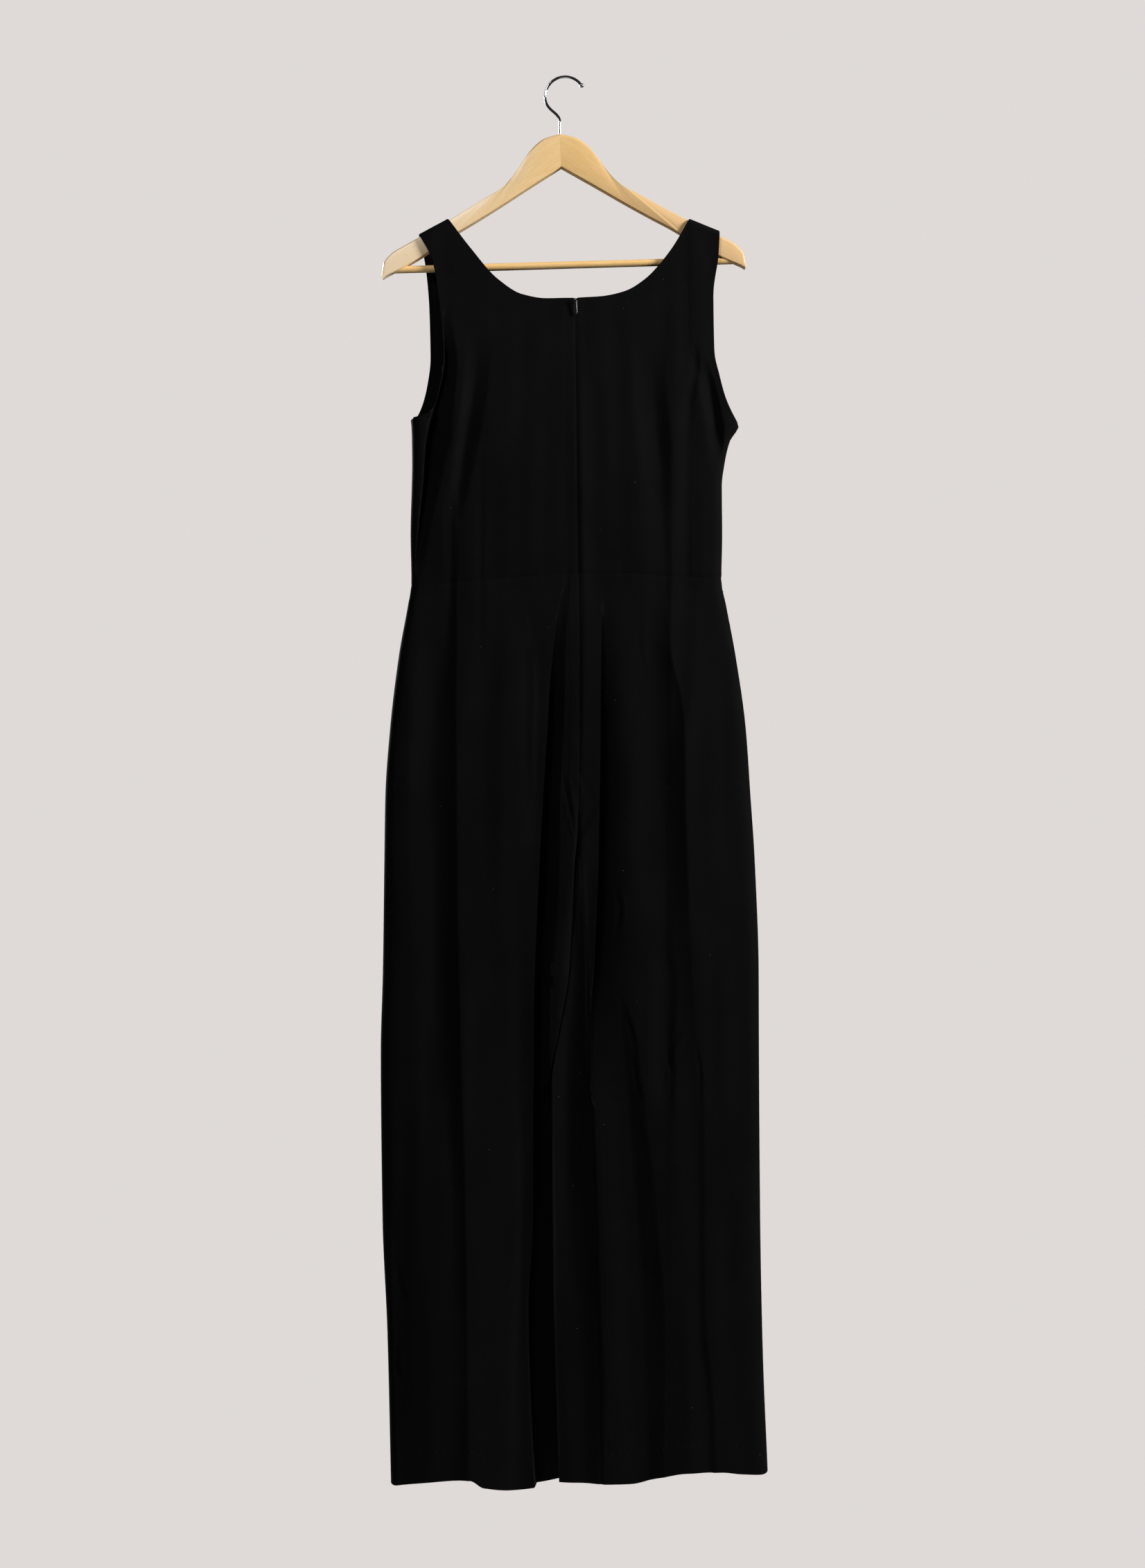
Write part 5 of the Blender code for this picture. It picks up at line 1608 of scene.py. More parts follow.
    def pull(self) -> bpy.types.Object:
        """The pull tab: a flat drop with an eye at its top, domed towards its middle.

        It is a ring of round-cornered sections: from the eye's outline to the drop's outline, at the
        same angle about the eye, up over the front face and back under the rear one.

        Returns:
            The object.
        """
        turn = round_turn(72)
        eye_z, eye_radius = self.pull_eye
        eye = np.stack([eye_radius * np.cos(turn), eye_z + eye_radius * np.sin(turn)], axis=1)
        sides = np.array(self.pull_sides)
        outline = np.concatenate([sides, sides[-2:0:-1] * (-1, 1)])
        at = np.linspace(0, len(outline), 241)[:-1]
        closed = np.concatenate([outline, outline[:1]])
        index = np.arange(len(closed))
        fine = np.stack([np.interp(at, index, closed[:, i]) for i in (0, 1)], axis=1)
        for _ in range(14):
            fine = (np.roll(fine, 1, axis=0) + 2 * fine + np.roll(fine, -1, axis=0)) / 4
        angles = np.arctan2(fine[:, 1] - eye_z, fine[:, 0]) % (2 * np.pi)
        order = np.argsort(angles)
        places = [np.interp(turn, angles[order], fine[order, i], period=2 * np.pi) for i in (0, 1)]
        outer = np.stack(places, axis=1)
        parts = np.array((0, 0.02, 0.08, 0.25, 0.5, 0.75, 0.92, 0.98, 1.0))
        rise = np.array((0.35, 0.7, 0.86, 0.95, 1.0, 0.9, 0.7, 0.5, 0.2))
        across = np.concatenate([parts, parts[::-1]])
        depth = np.concatenate([-rise, rise[::-1]]) * self.pull_thickness / 2
        flat = eye[:, None] + (outer - eye)[:, None] * across[None, :, None]
        half_width = np.interp(flat[..., 1], sides[::-1, 1], sides[::-1, 0] + 0.05)
        out = np.abs(flat[..., 0]) / half_width
        dome = 0.4 + 0.6 * np.sqrt(1 - np.clip(out, 0, 1) ** 2)
        x = NOTCH_FOOT[0] + flat[..., 0]
        y = self.axis_y + depth * dome
        points = np.stack([x, y, self.axis_z + flat[..., 1]], axis=2)
        rows, columns = x.shape
        wrapped = grid_faces(rows + 1, columns, around=True) % (rows * columns)
        return new_mesh("zip_pull_tab", points.reshape(-1, 3), wrapped)


# ---------------------------------------------------------------- hanger


@dataclass
class Hanger:
    """The wooden hanger: two arms joined in the head, the trouser bar and the wire hook.

    The tables are for its right half, from the top of its head.
    """

    apex: tuple[float, float] = (-6.2, -69.2)
    roll_deg: float = 1.6
    depth: float = 12.0
    upper_corner: float = 4.6
    lower_corner: float = 1.3
    bar_drop: float = 160.0
    bar_radius: float = 4.5
    bar_reach: float = 213.0
    shank_depth: float = 25.0
    wire: float = 1.6
    hook_radius: float = 24.5
    tip_deg: float = 34.0
    ball: float = 2.6
    top: Table = (
        (0, 0), (19, -5), (33.5, -15.8), (44.6, -30), (56.7, -48.5), (71, -63), (97, -78), (135, -100),
        (192, -130), (209, -139.5), (220.5, -153), (222.5, -167),
    )
    underside: Table = (
        (0, -41), (20, -53), (41, -65.6), (76, -87), (105, -104), (135, -121), (160, -137.5),
        (178, -148.5), (196, -158), (211, -165), (217, -168), (221.5, -171),
    )
    bend: Table = ((0, -62), (0, -54), (-1.0, -49.5), (-3.6, -45.6), (-13.6, -36.2))  # shank to ring

    def placed(self, points: Array) -> Array:
        """Points of the hanger's own frame, rolled a little and set at its apex.

        Args:
            points: the points.

        Returns:
            Them in the frame of the part.
        """
        a = math.radians(self.roll_deg)
        x = points[..., 0] * math.cos(a) - points[..., 2] * math.sin(a) + self.apex[0]
        z = points[..., 0] * math.sin(a) + points[..., 2] * math.cos(a) + self.apex[1]
        return np.stack([x, points[..., 1], z], axis=-1)

    def section(self, height: Array) -> tuple[Array, Array]:
        """An arm's sections: rectangles whose two upper corners are rounder than the lower ones, each
        corner a quarter circle.

        Args:
            height: the height of each.

        Returns:
            Their points' places along the height and along the depth.
        """
        turn = np.linspace(0, np.pi / 2, 6)
        half = self.depth / 2
        along_height, along_depth = [], []
        for sign, corner in ((1, self.upper_corner), (-1, self.lower_corner)):
            r = np.minimum(corner, 0.45 * height)[:, None]
            h = sign * (height[:, None] / 2 - r + r * np.cos(turn))
            d = (half - r) + r * np.sin(turn)
            along_height.append(h if sign > 0 else h[:, ::-1])
            along_depth.append(d if sign > 0 else d[:, ::-1])
        h = np.concatenate([*along_height, along_height[1][:, ::-1], along_height[0][:, ::-1]], axis=1)
        d = np.concatenate([*along_depth, -along_depth[1][:, ::-1], -along_depth[0][:, ::-1]], axis=1)
        return h, d

    def arm(self, side: Side) -> bpy.types.Object:
        """One arm: rounded sections carried from the joint in the head to the tip, square to the line
        from its top curve to its underside.

        Args:
            side: which arm.

        Returns:
            The object.
        """
        t = np.linspace(0, len(self.top) - 1, 150)
        top_x, top_z = along(self.top, t)
        low_x, low_z = along(self.underside, t)
        height = np.hypot(top_x - low_x, top_z - low_z)
        h, d = self.section(height)
        x = ((top_x + low_x) / 2)[:, None] + ((top_x - low_x) / height)[:, None] * h
        z = ((top_z + low_z) / 2)[:, None] + ((top_z - low_z) / height)[:, None] * h
        x[0] = SEAM / 2
        rings = np.stack([x * side, d, z], axis=2)
        rings = closed_ends(rings, rings.mean(axis=1))
        steps = np.hypot(*np.diff([top_x + low_x, top_z + low_z], axis=1)) / 2
        run = np.concatenate(([0.0], np.cumsum(steps)))
        run = np.concatenate([run[:1], run, run[-1:]])
        lay = np.concatenate([0 * h[:1], h, 0 * h[:1]])
        uv = np.stack([np.broadcast_to(run[:, None], lay.shape), lay], axis=2).reshape(-1, 2) * MM
        faces = grid_faces(*rings.shape[:2], around=True, turned=side == Side.RIGHT)
        points = self.placed(rings).reshape(-1, 3)
        return new_mesh(f"wooden_arm_{side.word}", points, faces, uv)

    def bar(self) -> bpy.types.Object:
        """The trouser bar: a turned rod whose radius drifts by a tenth of a millimetre.

        Returns:
            The object.
        """
        x = np.linspace(-self.bar_reach, self.bar_reach, 120)
        radius = self.bar_radius - 0.1 - 0.1 * np.sin(x / 47.0)
        path = np.stack([x, 0 * x, 0 * x - self.bar_drop], axis=1)
        sides = 28
        points, faces = tube(path, radius, sides)
        turn = np.tile(np.arange(sides) / sides * 2 * np.pi * self.bar_radius, len(x) + 2)
        run = np.repeat(np.concatenate([x[:1], x, x[-1:]]), sides)
        return new_mesh("turned_bar", self.placed(points), faces, np.stack([run, turn], axis=1) * MM)

    def hook(self) -> bpy.types.Object:
        """The hook: a wire up from the head, out to the left and round over the rail, and its ball tip.

        Returns:
            The object.
        """
        shank_x, head = self.apex
        centre_z = -(self.hook_radius - self.wire)
        turn = np.radians(np.linspace(196, self.tip_deg, 10))
        ring = [(self.hook_radius * math.cos(a), centre_z + self.hook_radius * math.sin(a)) for a in turn]
        shank = [(0, head - self.shank_depth), *self.bend]
        route = np.array([(shank_x + x, z) for x, z in shank] + ring)
        steps = run_along(route)
        at = np.linspace(0, steps[-1], 150)
        x, z = (smooth(steps, route[:, i], at) for i in (0, 1))
        for _ in range(6):
            x[1:-1], z[1:-1] = ((v[:-2] + 2 * v[1:-1] + v[2:]) / 4 for v in (x, z))
        path = np.stack([x, 0 * x, z], axis=1)
        points, faces = tube(path, self.wire, 18)
        up = np.linspace(0, np.pi, 17)[:, None]
        turn = round_turn(24)[None]
        sphere = np.broadcast_arrays(np.sin(up) * np.cos(turn), np.sin(up) * np.sin(turn), np.cos(up))
        ball = path[-1] + self.ball * np.stack(sphere, axis=2)
        faces = np.concatenate([faces, grid_faces(*ball.shape[:2], around=True) + len(points)])
        return new_mesh("wire_hook", np.concatenate([points, ball.reshape(-1, 3)]), faces)


# ---------------------------------------------------------------- sewing


@dataclass
class Sewing:
    """The thread that shows: the hem's blind stitches and the stitching inside armholes and neckline."""

    thread: float = 0.28
    stitch: float = 2.4
    hem_rows: int = 7
    hem_spacing: float = 9.0
    edge_inset: float = 6.5
    edge_spacing: float = 3.3

    def stitches(self, name: str, starts: Array, ends: Array, sink: Array) -> bpy.types.Object:
        """A row of short stitches: each is a six-sided thread that dips into the cloth at both ends.

        Args:
            name: the object's name.
            starts: where each stitch begins.
            ends: where it ends.
            sink: the direction into the cloth at each.

        Returns:
            The object.
        """
        parts = np.array((0.0, 0.12, 0.5, 0.88, 1.0))
        dips = np.array((1.0, 0.35, -0.25, 0.35, 1.0)) * self.thread
        widths = np.array((0.3, 0.85, 1.0, 0.85, 0.3)) * self.thread
        run = ends - starts
        path = starts[:, None] + run[:, None] * parts[:, None] + sink[:, None] * dips[:, None]
        side = unit(np.cross(run, sink))[:, None, None]
        turn = round_turn(6)[:, None]
        ring = side * np.cos(turn) + sink[:, None, None] * np.sin(turn)
        points = path[:, :, None] + ring * widths[None, :, None, None]
        rows, columns = points.shape[1:3]
        cap = np.array(((0, 1, 2, 3), (0, 3, 4, 5)))
        caps = np.concatenate([cap[:, ::-1], cap + (rows - 1) * columns])
        first = (np.arange(len(starts)) * rows * columns)[:, None, None]
        one_each = (grid_faces(rows, columns, around=True), caps)
        quads = [(faces[None] + first).reshape(-1, 4) for faces in one_each]
        return new_mesh(name, points.reshape(-1, 3), np.concatenate(quads))

    def along_row(
        self, name: str, grid: Array, outward: int, spacing: float, depth: float
    ) -> bpy.types.Object:
        """Stitches along a line of points on a panel's outer face, at a depth below it.

        Args:
            name: the object's name.
            grid: at least three rows of points, of which the middle one is the line.
            outward: the way the grid's normals are turned.
            spacing: from one stitch to the next.
            depth: how deep they lie, so that the inner face's stitches lie on it.

        Returns:
            The object.
        """
        middle = len(grid) // 2
        line, normals = grid[middle], surface_normals(grid, outward)[middle]
        runs = run_along(line)
        at = np.arange(spacing, runs[-1] - spacing, spacing)
        start, end, out = (
            np.stack([np.interp(at + shift, runs, values[:, i]) for i in range(3)], axis=1)
            for shift, values in ((0, line), (self.stitch, line), (0, normals))
        )
        out = unit(out)
        return self.stitches(name, start - out * depth, end - out * depth, out if depth > 0 else -out)

    def hem(self, panel: Panel) -> bpy.types.Object:
        """The blind stitches that catch a leg panel's outer face some rows above its hem.

        Args:
            panel: the leg panel.

        Returns:
            The object.
        """
        (layer,) = panel.layers
        rows = layer.relieved()[-self.hem_rows - 2 : -self.hem_rows + 1]
        return self.along_row(f"{panel.name}_hem_stitches", rows, layer.outward, self.hem_spacing, 0.0)

    def edge(self, name: str, layer: Layer, edge: Edge, count: int) -> bpy.types.Object:
        """The stitches on a bodice layer's inner face, a set distance inside an open side border.

        Args:
            name: the object's name.
            layer: the layer.
            edge: its side or centre border.
            count: how many of its rows end at the opening.

        Returns:
            The object.
        """
        grid = layer.relieved()[4 : count - 2]
        outward = -layer.outward
        if edge == Edge.CENTRE:
            grid, outward = grid[:, ::-1], layer.outward
        rows = list(zip(arc_lengths(grid, 1), grid))
        insets = [self.edge_inset + more for more in (-1, 0, 1)]
        lines = [
            [[np.interp(inset, run, row[:, i]) for i in range(3)] for run, row in rows] for inset in insets
        ]
        return self.along_row(name, np.array(lines), outward, self.edge_spacing, CLOTH)


# ---------------------------------------------------------------- finishes


def srgb(hex_colour: str) -> tuple[float, float, float, float]:
    """A colour's linear value.

    Args:
        hex_colour: its sRGB hex value.

    Returns:
        Its red, green, blue and alpha.
    """
    parts = [int(hex_colour[i : i + 2], 16) / 255 for i in (1, 3, 5)]
    linear = [c / 12.92 if c <= 0.04045 else ((c + 0.055) / 1.055) ** 2.4 for c in parts]
    return (linear[0], linear[1], linear[2], 1.0)


def connect(tree: bpy.types.NodeTree, node: bpy.types.Node, links: dict) -> None:
    """Links other nodes to a node's inputs.

    Args:
        tree: the node tree.
        node: the node.
        links: sockets by input name or number, or nodes that stand for their first output.
    """
    for name, source in links.items():
        socket = source.outputs[0] if isinstance(source, bpy.types.Node) else source
        tree.links.new(socket, node.inputs[name])


def add_node(tree: bpy.types.NodeTree, kind: str, settings: dict, links: dict) -> bpy.types.Node:
    """Adds a node.

    Args:
        tree: the node tree.
        kind: the node's type name, without its "ShaderNode" start.
        settings: values by input name or number, and by property name; a ramp has its two "stops", which
            are hex colours or plain shares by place.
        links: what is linked to its inputs, as connect takes it.

    Returns:
        The node.
    """
    made = tree.nodes.new(f"ShaderNode{kind}")
    inputs = dict(settings)
    stops = inputs.pop("stops", {})
    for name in [key for key in inputs if isinstance(key, str) and hasattr(made, key)]:
        setattr(made, name, inputs.pop(name))
    for name, value in inputs.items():
        made.inputs[name].default_value = value
    if stops:
        for element, (place, value) in zip(made.color_ramp.elements, stops.items()):
            colour = srgb(value) if isinstance(value, str) else (value, value, value, 1)
            element.position, element.color = place, colour
    connect(tree, made, links)
    return made


def new_material(name: str, shader: dict) -> tuple[bpy.types.Material, bpy.types.NodeTree, bpy.types.Node]:
    """Makes a material with a Principled shader.

    Args:
        name: the finish's name.
        shader: the shader's constants by socket name.

    Returns:
        The material, its node tree and its shader.
    """
    material = bpy.data.materials.new(name)
    material.use_nodes = True
    tree = material.node_tree
    principled = tree.nodes["Principled BSDF"]
    for socket, value in shader.items():
        principled.inputs[socket].default_value = value
    return material, tree, principled


@dataclass(frozen=True)
class BlackCrepe:
    """Polyester crepe, piece dyed black.

    Highly twisted yarns give a pebbled face a millimetre or so across, which scatters the light, so it
    shows only the broad folds and a faint grey sheen at grazing angles. A little pale lint clings to it.
    """

    body: str = "#080708"
    worn: str = "#0A090A"
    lint: str = "#6E6C6A"
    grain_mm: float = 1.1
    shade_mm: float = 60.0
    lint_mm: float = 14.0

    def material(self) -> bpy.types.Material:
        """The crepe: noise on the flat cloth's own UV for its grain and its shade, and specks of lint.

        Returns:
            The material.
        """
        shader = {"Roughness": 0.9, "Specular IOR Level": 0.06, "IOR": 1.5}
        material, tree, principled = new_material("black_crepe", shader)
        uv = {"Vector": add_node(tree, "TexCoord", {}, {}).outputs["UV"]}
        grain = add_node(tree, "TexNoise", {"Scale": 1000 / self.grain_mm, "Detail": 2.0}, uv)
        shade = add_node(tree, "TexNoise", {"Scale": 1000 / self.shade_mm, "Detail": 3.0}, uv)
        colour = add_node(tree, "ValToRGB", {"stops": {0.35: self.body, 0.7: self.worn}}, {"Fac": shade})
        specks = add_node(tree, "TexVoronoi", {"Scale": 1000 / self.lint_mm}, uv)
        near = add_node(tree, "ValToRGB", {"stops": {0.018: 1.0, 0.03: 0.0}}, {"Fac": specks})
        chosen = add_node(tree, "SeparateColor", {}, {"Color": specks.outputs["Color"]})
        few = add_node(tree, "ValToRGB", {"stops": {0.86: 0.0, 0.92: 1.0}}, {"Fac": chosen})
        both = add_node(tree, "Math", {"operation": "MULTIPLY"}, {0: near, 1: few})
        lint = {"data_type": "RGBA", 7: srgb(self.lint)}
        mixed = add_node(tree, "Mix", lint, {"Factor": both, 6: colour})
        bump = add_node(tree, "Bump", {"Strength": 0.35, "Distance": 0.00035}, {"Height": grain})
        connect(tree, principled, {"Base Color": mixed.outputs[2], "Normal": bump})
        return material


@dataclass(frozen=True)
class WovenTape:
    """Polyester twill tape, dyed black: fine ribs run down it, coloured paler as painted highlight for the
    thin lines of light they catch.
    """

    ground: str = "#0C0B0C"
    ribs: str = "#171617"
    # the ribs' paler colour is painted highlight
    rib_mm: float = 0.9

    def material(self) -> bpy.types.Material:
        """The tape: bands across its UV width, broken by a fine noise; the paler bands are painted
        highlight.

        Returns:
            The material.
        """
        shader = {"Roughness": 0.78, "Specular IOR Level": 0.3}
        material, tree, principled = new_material("woven_tape", shader)
        uv = {"Vector": add_node(tree, "TexCoord", {}, {}).outputs["UV"]}
        rib = {"wave_type": "BANDS", "bands_direction": "DIAGONAL", "Scale": 2.2 / self.rib_mm * 100}
        wave = add_node(tree, "TexWave", rib | {"Distortion": 0.6, "Detail": 1.0}, uv).outputs["Fac"]
        # painted highlight: the rib bands take the paler colour
        colour = add_node(tree, "ValToRGB", {"stops": {0.2: self.ground, 0.8: self.ribs}}, {"Fac": wave})
        bump = add_node(tree, "Bump", {"Strength": 0.5, "Distance": 0.0002}, {"Height": wave})
        connect(tree, principled, {"Base Color": colour, "Normal": bump})
        return material


@dataclass(frozen=True)
class NylonCoil:
    """Extruded nylon monofilament, dyed black: smooth and slightly waxy, so each loop has a soft glint."""

    body: str = "#101011"
    rubbed: str = "#1D1C1E"
    shade_scale: float = 220.0  # patches about 4.5 mm across

    def material(self) -> bpy.types.Material:
        """The monofilament, with a slow change of shade.

        Returns:
            The material.
        """
        material, tree, principled = new_material("nylon_coil", {"Roughness": 0.38, "IOR": 1.53})
        place = {"Vector": add_node(tree, "TexCoord", {}, {}).outputs["Object"]}
        noise = add_node(tree, "TexNoise", {"Scale": self.shade_scale, "Detail": 1.0}, place)
        colour = add_node(tree, "ValToRGB", {"stops": {0.35: self.body, 0.7: self.rubbed}}, {"Fac": noise})
        connect(tree, principled, {"Base Color": colour})
        return material


@dataclass(frozen=True)
class SewingThread:
    """Spun polyester thread, dyed to the cloth: as matte as it, with a fine twist."""

    body: str = "#0C0B0D"
    # lit is painted highlight on the twist
    lit: str = "#161517"
    twist_mm: float = 0.45

    def material(self) -> bpy.types.Material:
        """The thread, with a fine noise for its twist, whose paler lit colour is painted highlight.

        Returns:
            The material.
        """
        shader = {"Roughness": 0.85, "Specular IOR Level": 0.2}
        material, tree, principled = new_material("spun_thread", shader)
        place = {"Vector": add_node(tree, "TexCoord", {}, {}).outputs["Object"]}
        noise = add_node(tree, "TexNoise", {"Scale": 1000 / self.twist_mm, "Detail": 1.0}, place)
        colour = add_node(tree, "ValToRGB", {"stops": {0.4: self.body, 0.65: self.lit}}, {"Fac": noise})
        connect(tree, principled, {"Base Color": colour})
        return material


@dataclass(frozen=True)
class LacqueredZinc:
    """Die-cast zinc, lacquered black and baked: glossy, with a slight orange peel and worn grey edges."""

    lacquer: str = "#141316"
    worn: str = "#4A484B"
    peel_mm: float = 0.8

    def material(self) -> bpy.types.Material:
        """The lacquer: dark with a few paler worn places, and a shallow peel in its gloss.

        Returns:
            The material.
        """
        shader = {"Roughness": 0.22, "IOR": 1.5, "Coat Weight": 0.2, "Coat Roughness": 0.12}
        material, tree, principled = new_material("black_lacquered_zinc", shader)
        place = {"Vector": add_node(tree, "TexCoord", {}, {}).outputs["Object"]}
        peel = add_node(tree, "TexNoise", {"Scale": 1000 / self.peel_mm, "Detail": 1.0}, place)
        edges = {"Fac": add_node(tree, "NewGeometry", {}, {}).outputs["Pointiness"]}
        wear = add_node(tree, "ValToRGB", {"stops": {0.52: 0.0, 0.6: 0.6}}, edges)
        coats = {"data_type": "RGBA", 6: srgb(self.lacquer), 7: srgb(self.worn)}
        mixed = add_node(tree, "Mix", coats, {"Factor": wear})
        bump = add_node(tree, "Bump", {"Strength": 0.12, "Distance": 0.0001}, {"Height": peel})
        connect(tree, principled, {"Base Color": mixed.outputs[2], "Normal": bump})
        return material


@dataclass(frozen=True)
class LacqueredBeech:
    """Steamed beech, planed, sanded and lacquered satin.

    Straight pale grain runs along the arm with the short dark flecks of beech's rays, and the lacquer
    gives it a soft broad gloss.
    """

    name: str
    early: str
    late: str
    fleck: str
    tip: str | None = None
    fibre_mm: float = 1.6
    fleck_mm: float = 1.6

    def material(self) -> bpy.types.Material:
        """Beech: noise drawn out along the UV's length for fibres, a second for flecks, and where tip is
        given a drift to it along the arm.

        Returns:
            The material.
        """
        shader = {"Roughness": 0.36, "IOR": 1.5, "Coat Weight": 0.25, "Coat Roughness": 0.22}
        material, tree, principled = new_material(self.name, shader)
        uv = add_node(tree, "TexCoord", {}, {}).outputs["UV"]
        drawn = add_node(tree, "Mapping", {"Scale": (0.05, 1.0, 1.0)}, {"Vector": uv})
        fibre = {"Scale": 1000 / self.fibre_mm, "Detail": 4.0, "Roughness": 0.6, "Distortion": 0.4}
        fibres = add_node(tree, "TexNoise", fibre, {"Vector": drawn})
        base = add_node(tree, "ValToRGB", {"stops": {0.3: self.late, 0.62: self.early}}, {"Fac": fibres})
        base = base.outputs[0]
        if self.tip:
            length = add_node(tree, "SeparateXYZ", {}, {"Vector": uv})
            reach = {"From Min": 0.02, "From Max": 0.2, "To Min": 0.0, "To Max": 1.0}
            far = add_node(tree, "MapRange", reach, {"Value": length})
            pale = {"data_type": "RGBA", 7: srgb(self.tip)}
            paler = add_node(tree, "Mix", pale, {"Factor": far, 6: base})
            veil = {"data_type": "RGBA", "Factor": 0.3}
            base = add_node(tree, "Mix", veil, {6: paler.outputs[2], 7: base}).outputs[2]
        short = add_node(tree, "Mapping", {"Scale": (0.22, 1.0, 1.0)}, {"Vector": uv})
        rays = {"Scale": 1000 / self.fleck_mm, "Detail": 1.0}
        flecks = add_node(tree, "TexNoise", rays, {"Vector": short})
        few = add_node(tree, "ValToRGB", {"stops": {0.66: 0.0, 0.76: 0.45}}, {"Fac": flecks})
        dark = {"data_type": "RGBA", 7: srgb(self.fleck)}
        mixed = add_node(tree, "Mix", dark, {"Factor": few, 6: base})
        rough = add_node(tree, "ValToRGB", {"stops": {0.3: 0.42, 0.7: 0.32}}, {"Fac": fibres})
        bump = add_node(tree, "Bump", {"Strength": 0.15, "Distance": 0.0001}, {"Height": fibres})
        connect(tree, principled, {"Base Color": mixed.outputs[2], "Roughness": rough, "Normal": bump})
        return material


@dataclass(frozen=True)
class PolishedChrome:
    """Steel wire, chrome plated and polished: a bright mirror with faint dull places."""

    bright: str = "#C8C8CC"
    dull: str = "#AEAEB2"
    cloud_mm: float = 1.4

    def material(self) -> bpy.types.Material:
        """The plate: nearly even, with a slow change between bright and dull places.

        Returns:
            The material.
        """
        material, tree, principled = new_material("polished_chrome", {"Metallic": 1.0, "Roughness": 0.12})
        place = {"Vector": add_node(tree, "TexCoord", {}, {}).outputs["Object"]}
        noise = add_node(tree, "TexNoise", {"Scale": 1000 / self.cloud_mm, "Detail": 2.0}, place)
        colour = add_node(tree, "ValToRGB", {"stops": {0.3: self.dull, 0.7: self.bright}}, {"Fac": noise})
        rough = add_node(tree, "ValToRGB", {"stops": {0.3: 0.16, 0.7: 0.09}}, {"Fac": noise})
        connect(tree, principled, {"Base Color": colour, "Roughness": rough})
        return material


# The left arm's colours are painted light: the same beech as the right arm's, made paler where more light
# falls on it from the upper left.
BEECH_ARMS = {
    Side.LEFT: LacqueredBeech("pale_beech", "#EECB93", "#E3BA7B", "#C0904E", tip="#F4DFC0"),
    Side.RIGHT: LacqueredBeech("warm_beech", "#E5BF83", "#D9AE6C", "#BB8A4B", tip="#DFB88B"),
}
# The bar's colours are painted light too: made paler than the arms' to make up for the dimmer light that
# reaches it.
BEECH_BAR = LacqueredBeech("turned_beech", "#F5CC8C", "#EBBB70", "#C08C48")


# ---------------------------------------------------------------- studio


@dataclass(frozen=True)
class Lamp:
    """A rectangular soft lamp: its place, what it is turned towards, its size and its power."""

    name: str
    place: tuple[float, float, float]
    towards: tuple[float, float, float]
    size: tuple[float, float]
    power: float

    def build(self) -> None:
        """Adds the lamp."""
        data = bpy.data.lights.new(self.name, "AREA")
        data.shape, data.size, data.size_y, data.energy = "RECTANGLE", *self.size, self.power
        lamp = bpy.data.objects.new(self.name, data)
        lamp.location = self.place
        ahead = Vector(self.towards) - Vector(self.place)
        lamp.rotation_euler = ahead.to_track_quat("-Z", "Y").to_euler()
        lamp.visible_camera = False
        bpy.context.scene.collection.objects.link(lamp)


@dataclass
class Studio:
    """A pale room in metres: a big soft lamp far out on the right, a weak one opposite, one behind the
    garment for its other side, a floor and a camera."""

    wall: str = "#DFDAD7"
    air: str = "#E8E6E4"
    air_strength: float = 0.04
    camera_place: tuple[float, float, float] = (0.009, -2.5, -0.864)
    lens: float = 46.9
    floor_level: float = -2.3
    floor_radius: float = 1.1
    lamps: tuple[Lamp, ...] = (
        Lamp("key_lamp", (2.8, -1.2, 0.6), (0, 0, 0), (0.8, 1.0), 165.0),
        Lamp("left_lamp", (-1.0, -1.5, 0.95), (0, 0, -0.25), (0.7, 0.7), 19.0),
        Lamp("rear_lamp", (-1.7, 2.5, 0.5), (0, 0, -0.6), (0.9, 0.9), 110.0),
    )

    def build(self) -> None:
        """Makes the world, lamps, floor and camera."""
        scene = bpy.context.scene
        scene.view_settings.view_transform = "Standard"
        self.world(scene)
        for lamp in self.lamps:
            lamp.build()
        self.floor()
        camera = bpy.data.objects.new("camera", bpy.data.cameras.new("camera"))
        camera.data.lens, camera.data.sensor_width = self.lens, 36.0
        camera.location, camera.rotation_euler = self.camera_place, (math.pi / 2, 0, 0)
        scene.collection.objects.link(camera)
        scene.camera = camera

    def world(self, scene: bpy.types.Scene) -> None:
        """The room: pale where it is seen directly, and a dimmer even light on what stands in it.

        Args:
            scene: the scene that gets it.
        """
        world = bpy.data.worlds.new("pale_room")
        world.use_nodes = True
        scene.world = world
        tree = world.node_tree
        tree.nodes.clear()
        seen = add_node(tree, "Background", {"Color": srgb(self.wall), "Strength": 1.0}, {})
        light = add_node(tree, "Background", {"Color": srgb(self.air), "Strength": self.air_strength}, {})
        rays = add_node(tree, "LightPath", {}, {}).outputs["Is Camera Ray"]
        mixed = add_node(tree, "MixShader", {}, {0: rays, 1: light, 2: seen})
        add_node(tree, "OutputWorld", {}, {"Surface": mixed})

    def floor(self) -> None:
        """A round pale floor below the garment: rings from its middle to its edge."""
        rows, columns = 40, 96
        radius = np.linspace(0.002, self.floor_radius, rows)[:, None]
        turn = round_turn(columns)[None]
        z = self.floor_level + 0 * radius * turn
        rings = np.stack([radius * np.cos(turn), radius * np.sin(turn), z], axis=2)
        disc = new_mesh("studio_floor", rings.reshape(-1, 3) / MM, grid_faces(rows, columns, around=True))
        material, tree, principled = new_material("painted_floor", {"Roughness": 0.9})
        place = {"Vector": add_node(tree, "TexCoord", {}, {}).outputs["Object"]}
        noise = add_node(tree, "TexNoise", {"Scale": 6.0, "Detail": 2.0}, place)
        colour = add_node(tree, "ValToRGB", {"stops": {0.3: "#E4E0DD", 0.7: "#EAE7E4"}}, {"Fac": noise})
        connect(tree, principled, {"Base Color": colour})
        disc.data.materials.append(material)


# ---------------------------------------------------------------- putting it together


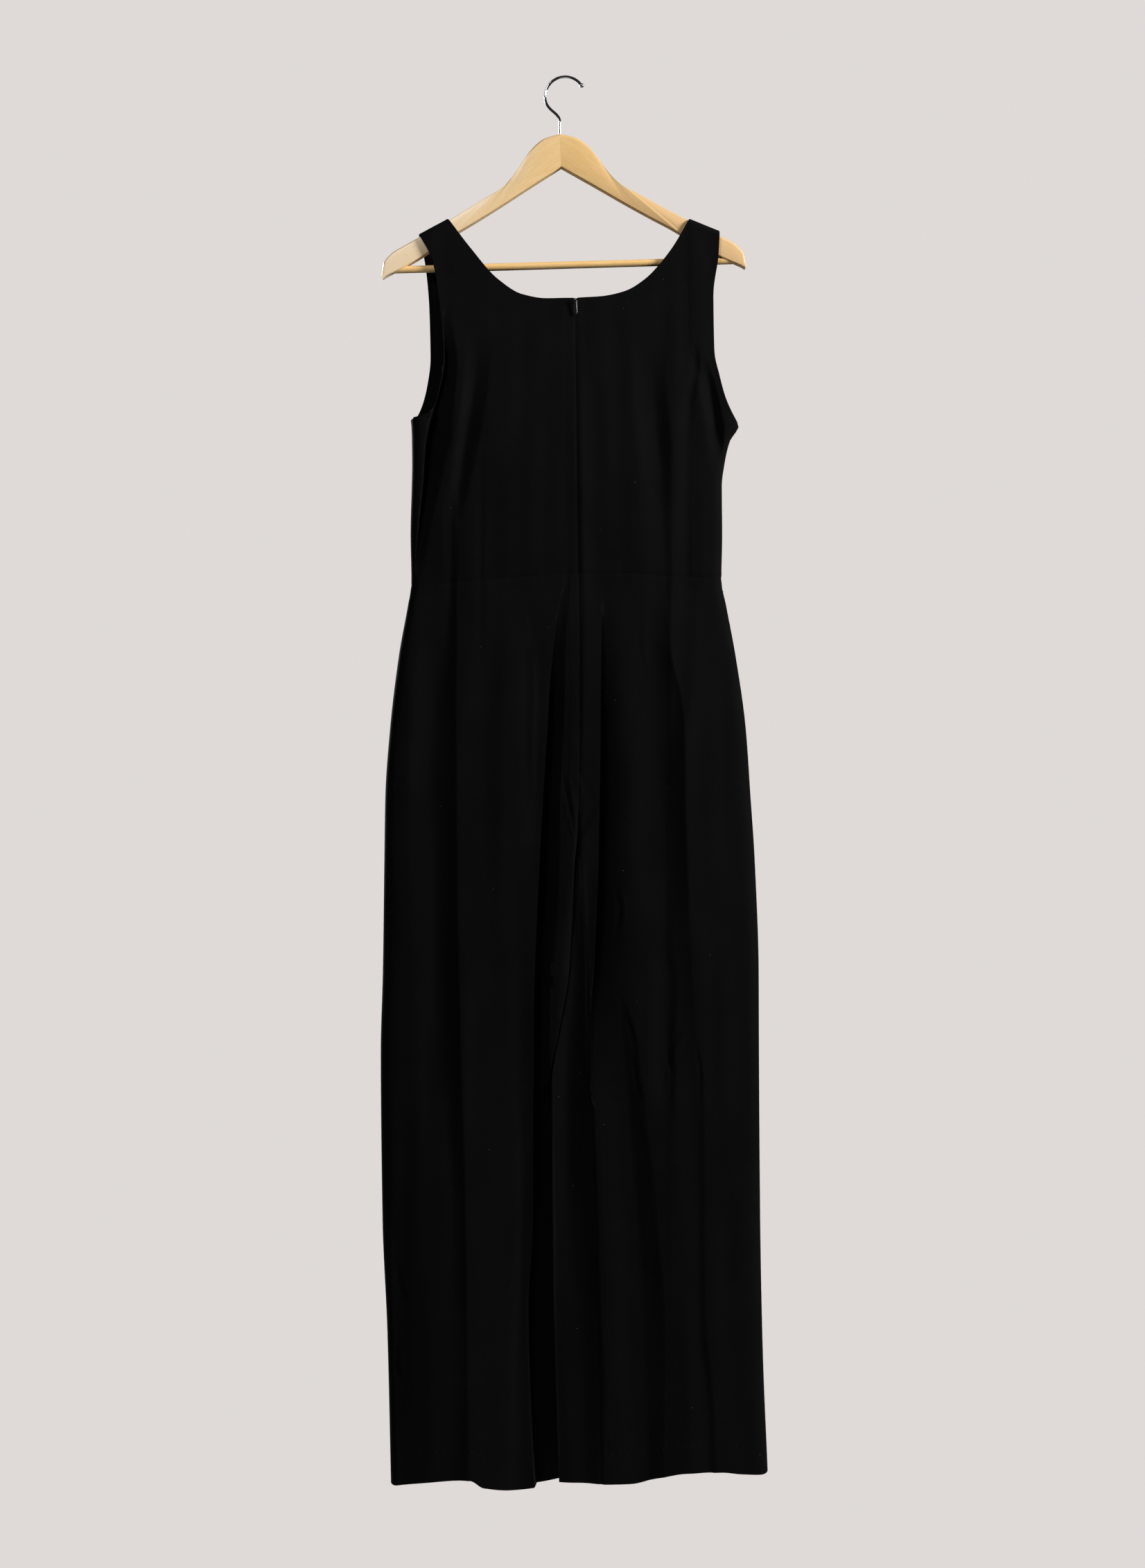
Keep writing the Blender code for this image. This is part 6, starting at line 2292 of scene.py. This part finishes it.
@dataclass
class Jumpsuit:
    """The garment on its hanger: builds each piece, dresses it and names what it rides on."""

    trousers: Trousers = field(default_factory=Trousers)
    bodice: Bodice = field(default_factory=Bodice)
    fastener: ZipFastener = field(default_factory=ZipFastener)
    hanger: Hanger = field(default_factory=Hanger)
    sewing: Sewing = field(default_factory=Sewing)
    panels: list[Panel] = field(init=False)

    def __post_init__(self) -> None:
        """Works the panels out once, for the cloth and the stitches that lie on it."""
        self.panels = self.trousers.panels() + self.bodice.panels()

    def dress(
        self,
        piece: bpy.types.Object,
        body: str,
        material: bpy.types.Material,
        node: str | None = None,
    ) -> None:
        """Gives a piece its finish and body, and logs it.

        Args:
            piece: the piece.
            body: the body it rides on.
            material: its finish.
            node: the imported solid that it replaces, if there is one.
        """
        piece.data.materials.append(material)
        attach(piece, body)
        if node:
            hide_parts(node)
        log.info("%s: %d faces on %s", piece.name, len(piece.data.polygons), body)

    def build_cloth(self) -> None:
        """The seven panels, each in the crepe and attached to the garment's body."""
        crepe = BlackCrepe().material()
        for panel in self.panels:
            piece = panel.build()
            self.dress(piece, GARMENT, crepe, panel.node)

    def build_sewing(self) -> None:
        """The stitches on the legs' hems and inside the bodice's armholes and neckline."""
        thread = SewingThread().material()
        rows = [self.sewing.hem(panel) for panel in self.panels if "leg" in panel.node]
        for panel in [panel for panel in self.panels if "bodice" in panel.node]:
            for i, layer in enumerate(panel.layers):
                for edge, count in self.bodice.open_rows.items():
                    name = f"{panel.name}_{edge.name.lower()}_stitches_{i}"
                    rows.append(self.sewing.edge(name, layer, edge, count))
        for row in rows:
            self.dress(row, GARMENT, thread)

    def build_fastener(self) -> None:
        """The tapes, coil, slider and pull tab of the zip."""
        tape, metal = WovenTape().material(), LacqueredZinc().material()
        for side in Side:
            self.dress(self.fastener.tape(side), GARMENT, tape, f"zip_tape_{side.word}")
        self.dress(self.fastener.coil(), GARMENT, NylonCoil().material())
        self.dress(self.fastener.slider(), GARMENT, metal, "zip_slider")
        self.dress(self.fastener.pull(), PULL, metal, "zip_pull")

    def build_hanger(self) -> None:
        """The arms, bar and hook."""
        for side in Side:
            beech = BEECH_ARMS[side].material()
            self.dress(self.hanger.arm(side), GARMENT, beech, f"hanger_arm_{side.word}")
        self.dress(self.hanger.bar(), GARMENT, BEECH_BAR.material(), "hanger_bar")
        self.dress(self.hanger.hook(), GARMENT, PolishedChrome().material(), "hanger_hook")


def main() -> None:
    """Builds the studio, the hanger, the cloth, its sewing and the zip."""
    logging.basicConfig(level=logging.INFO, format="%(message)s")
    Studio().build()
    jumpsuit = Jumpsuit()
    jumpsuit.build_hanger()
    jumpsuit.build_cloth()
    jumpsuit.build_sewing()
    jumpsuit.build_fastener()


if __name__ == "__main__":
    main()
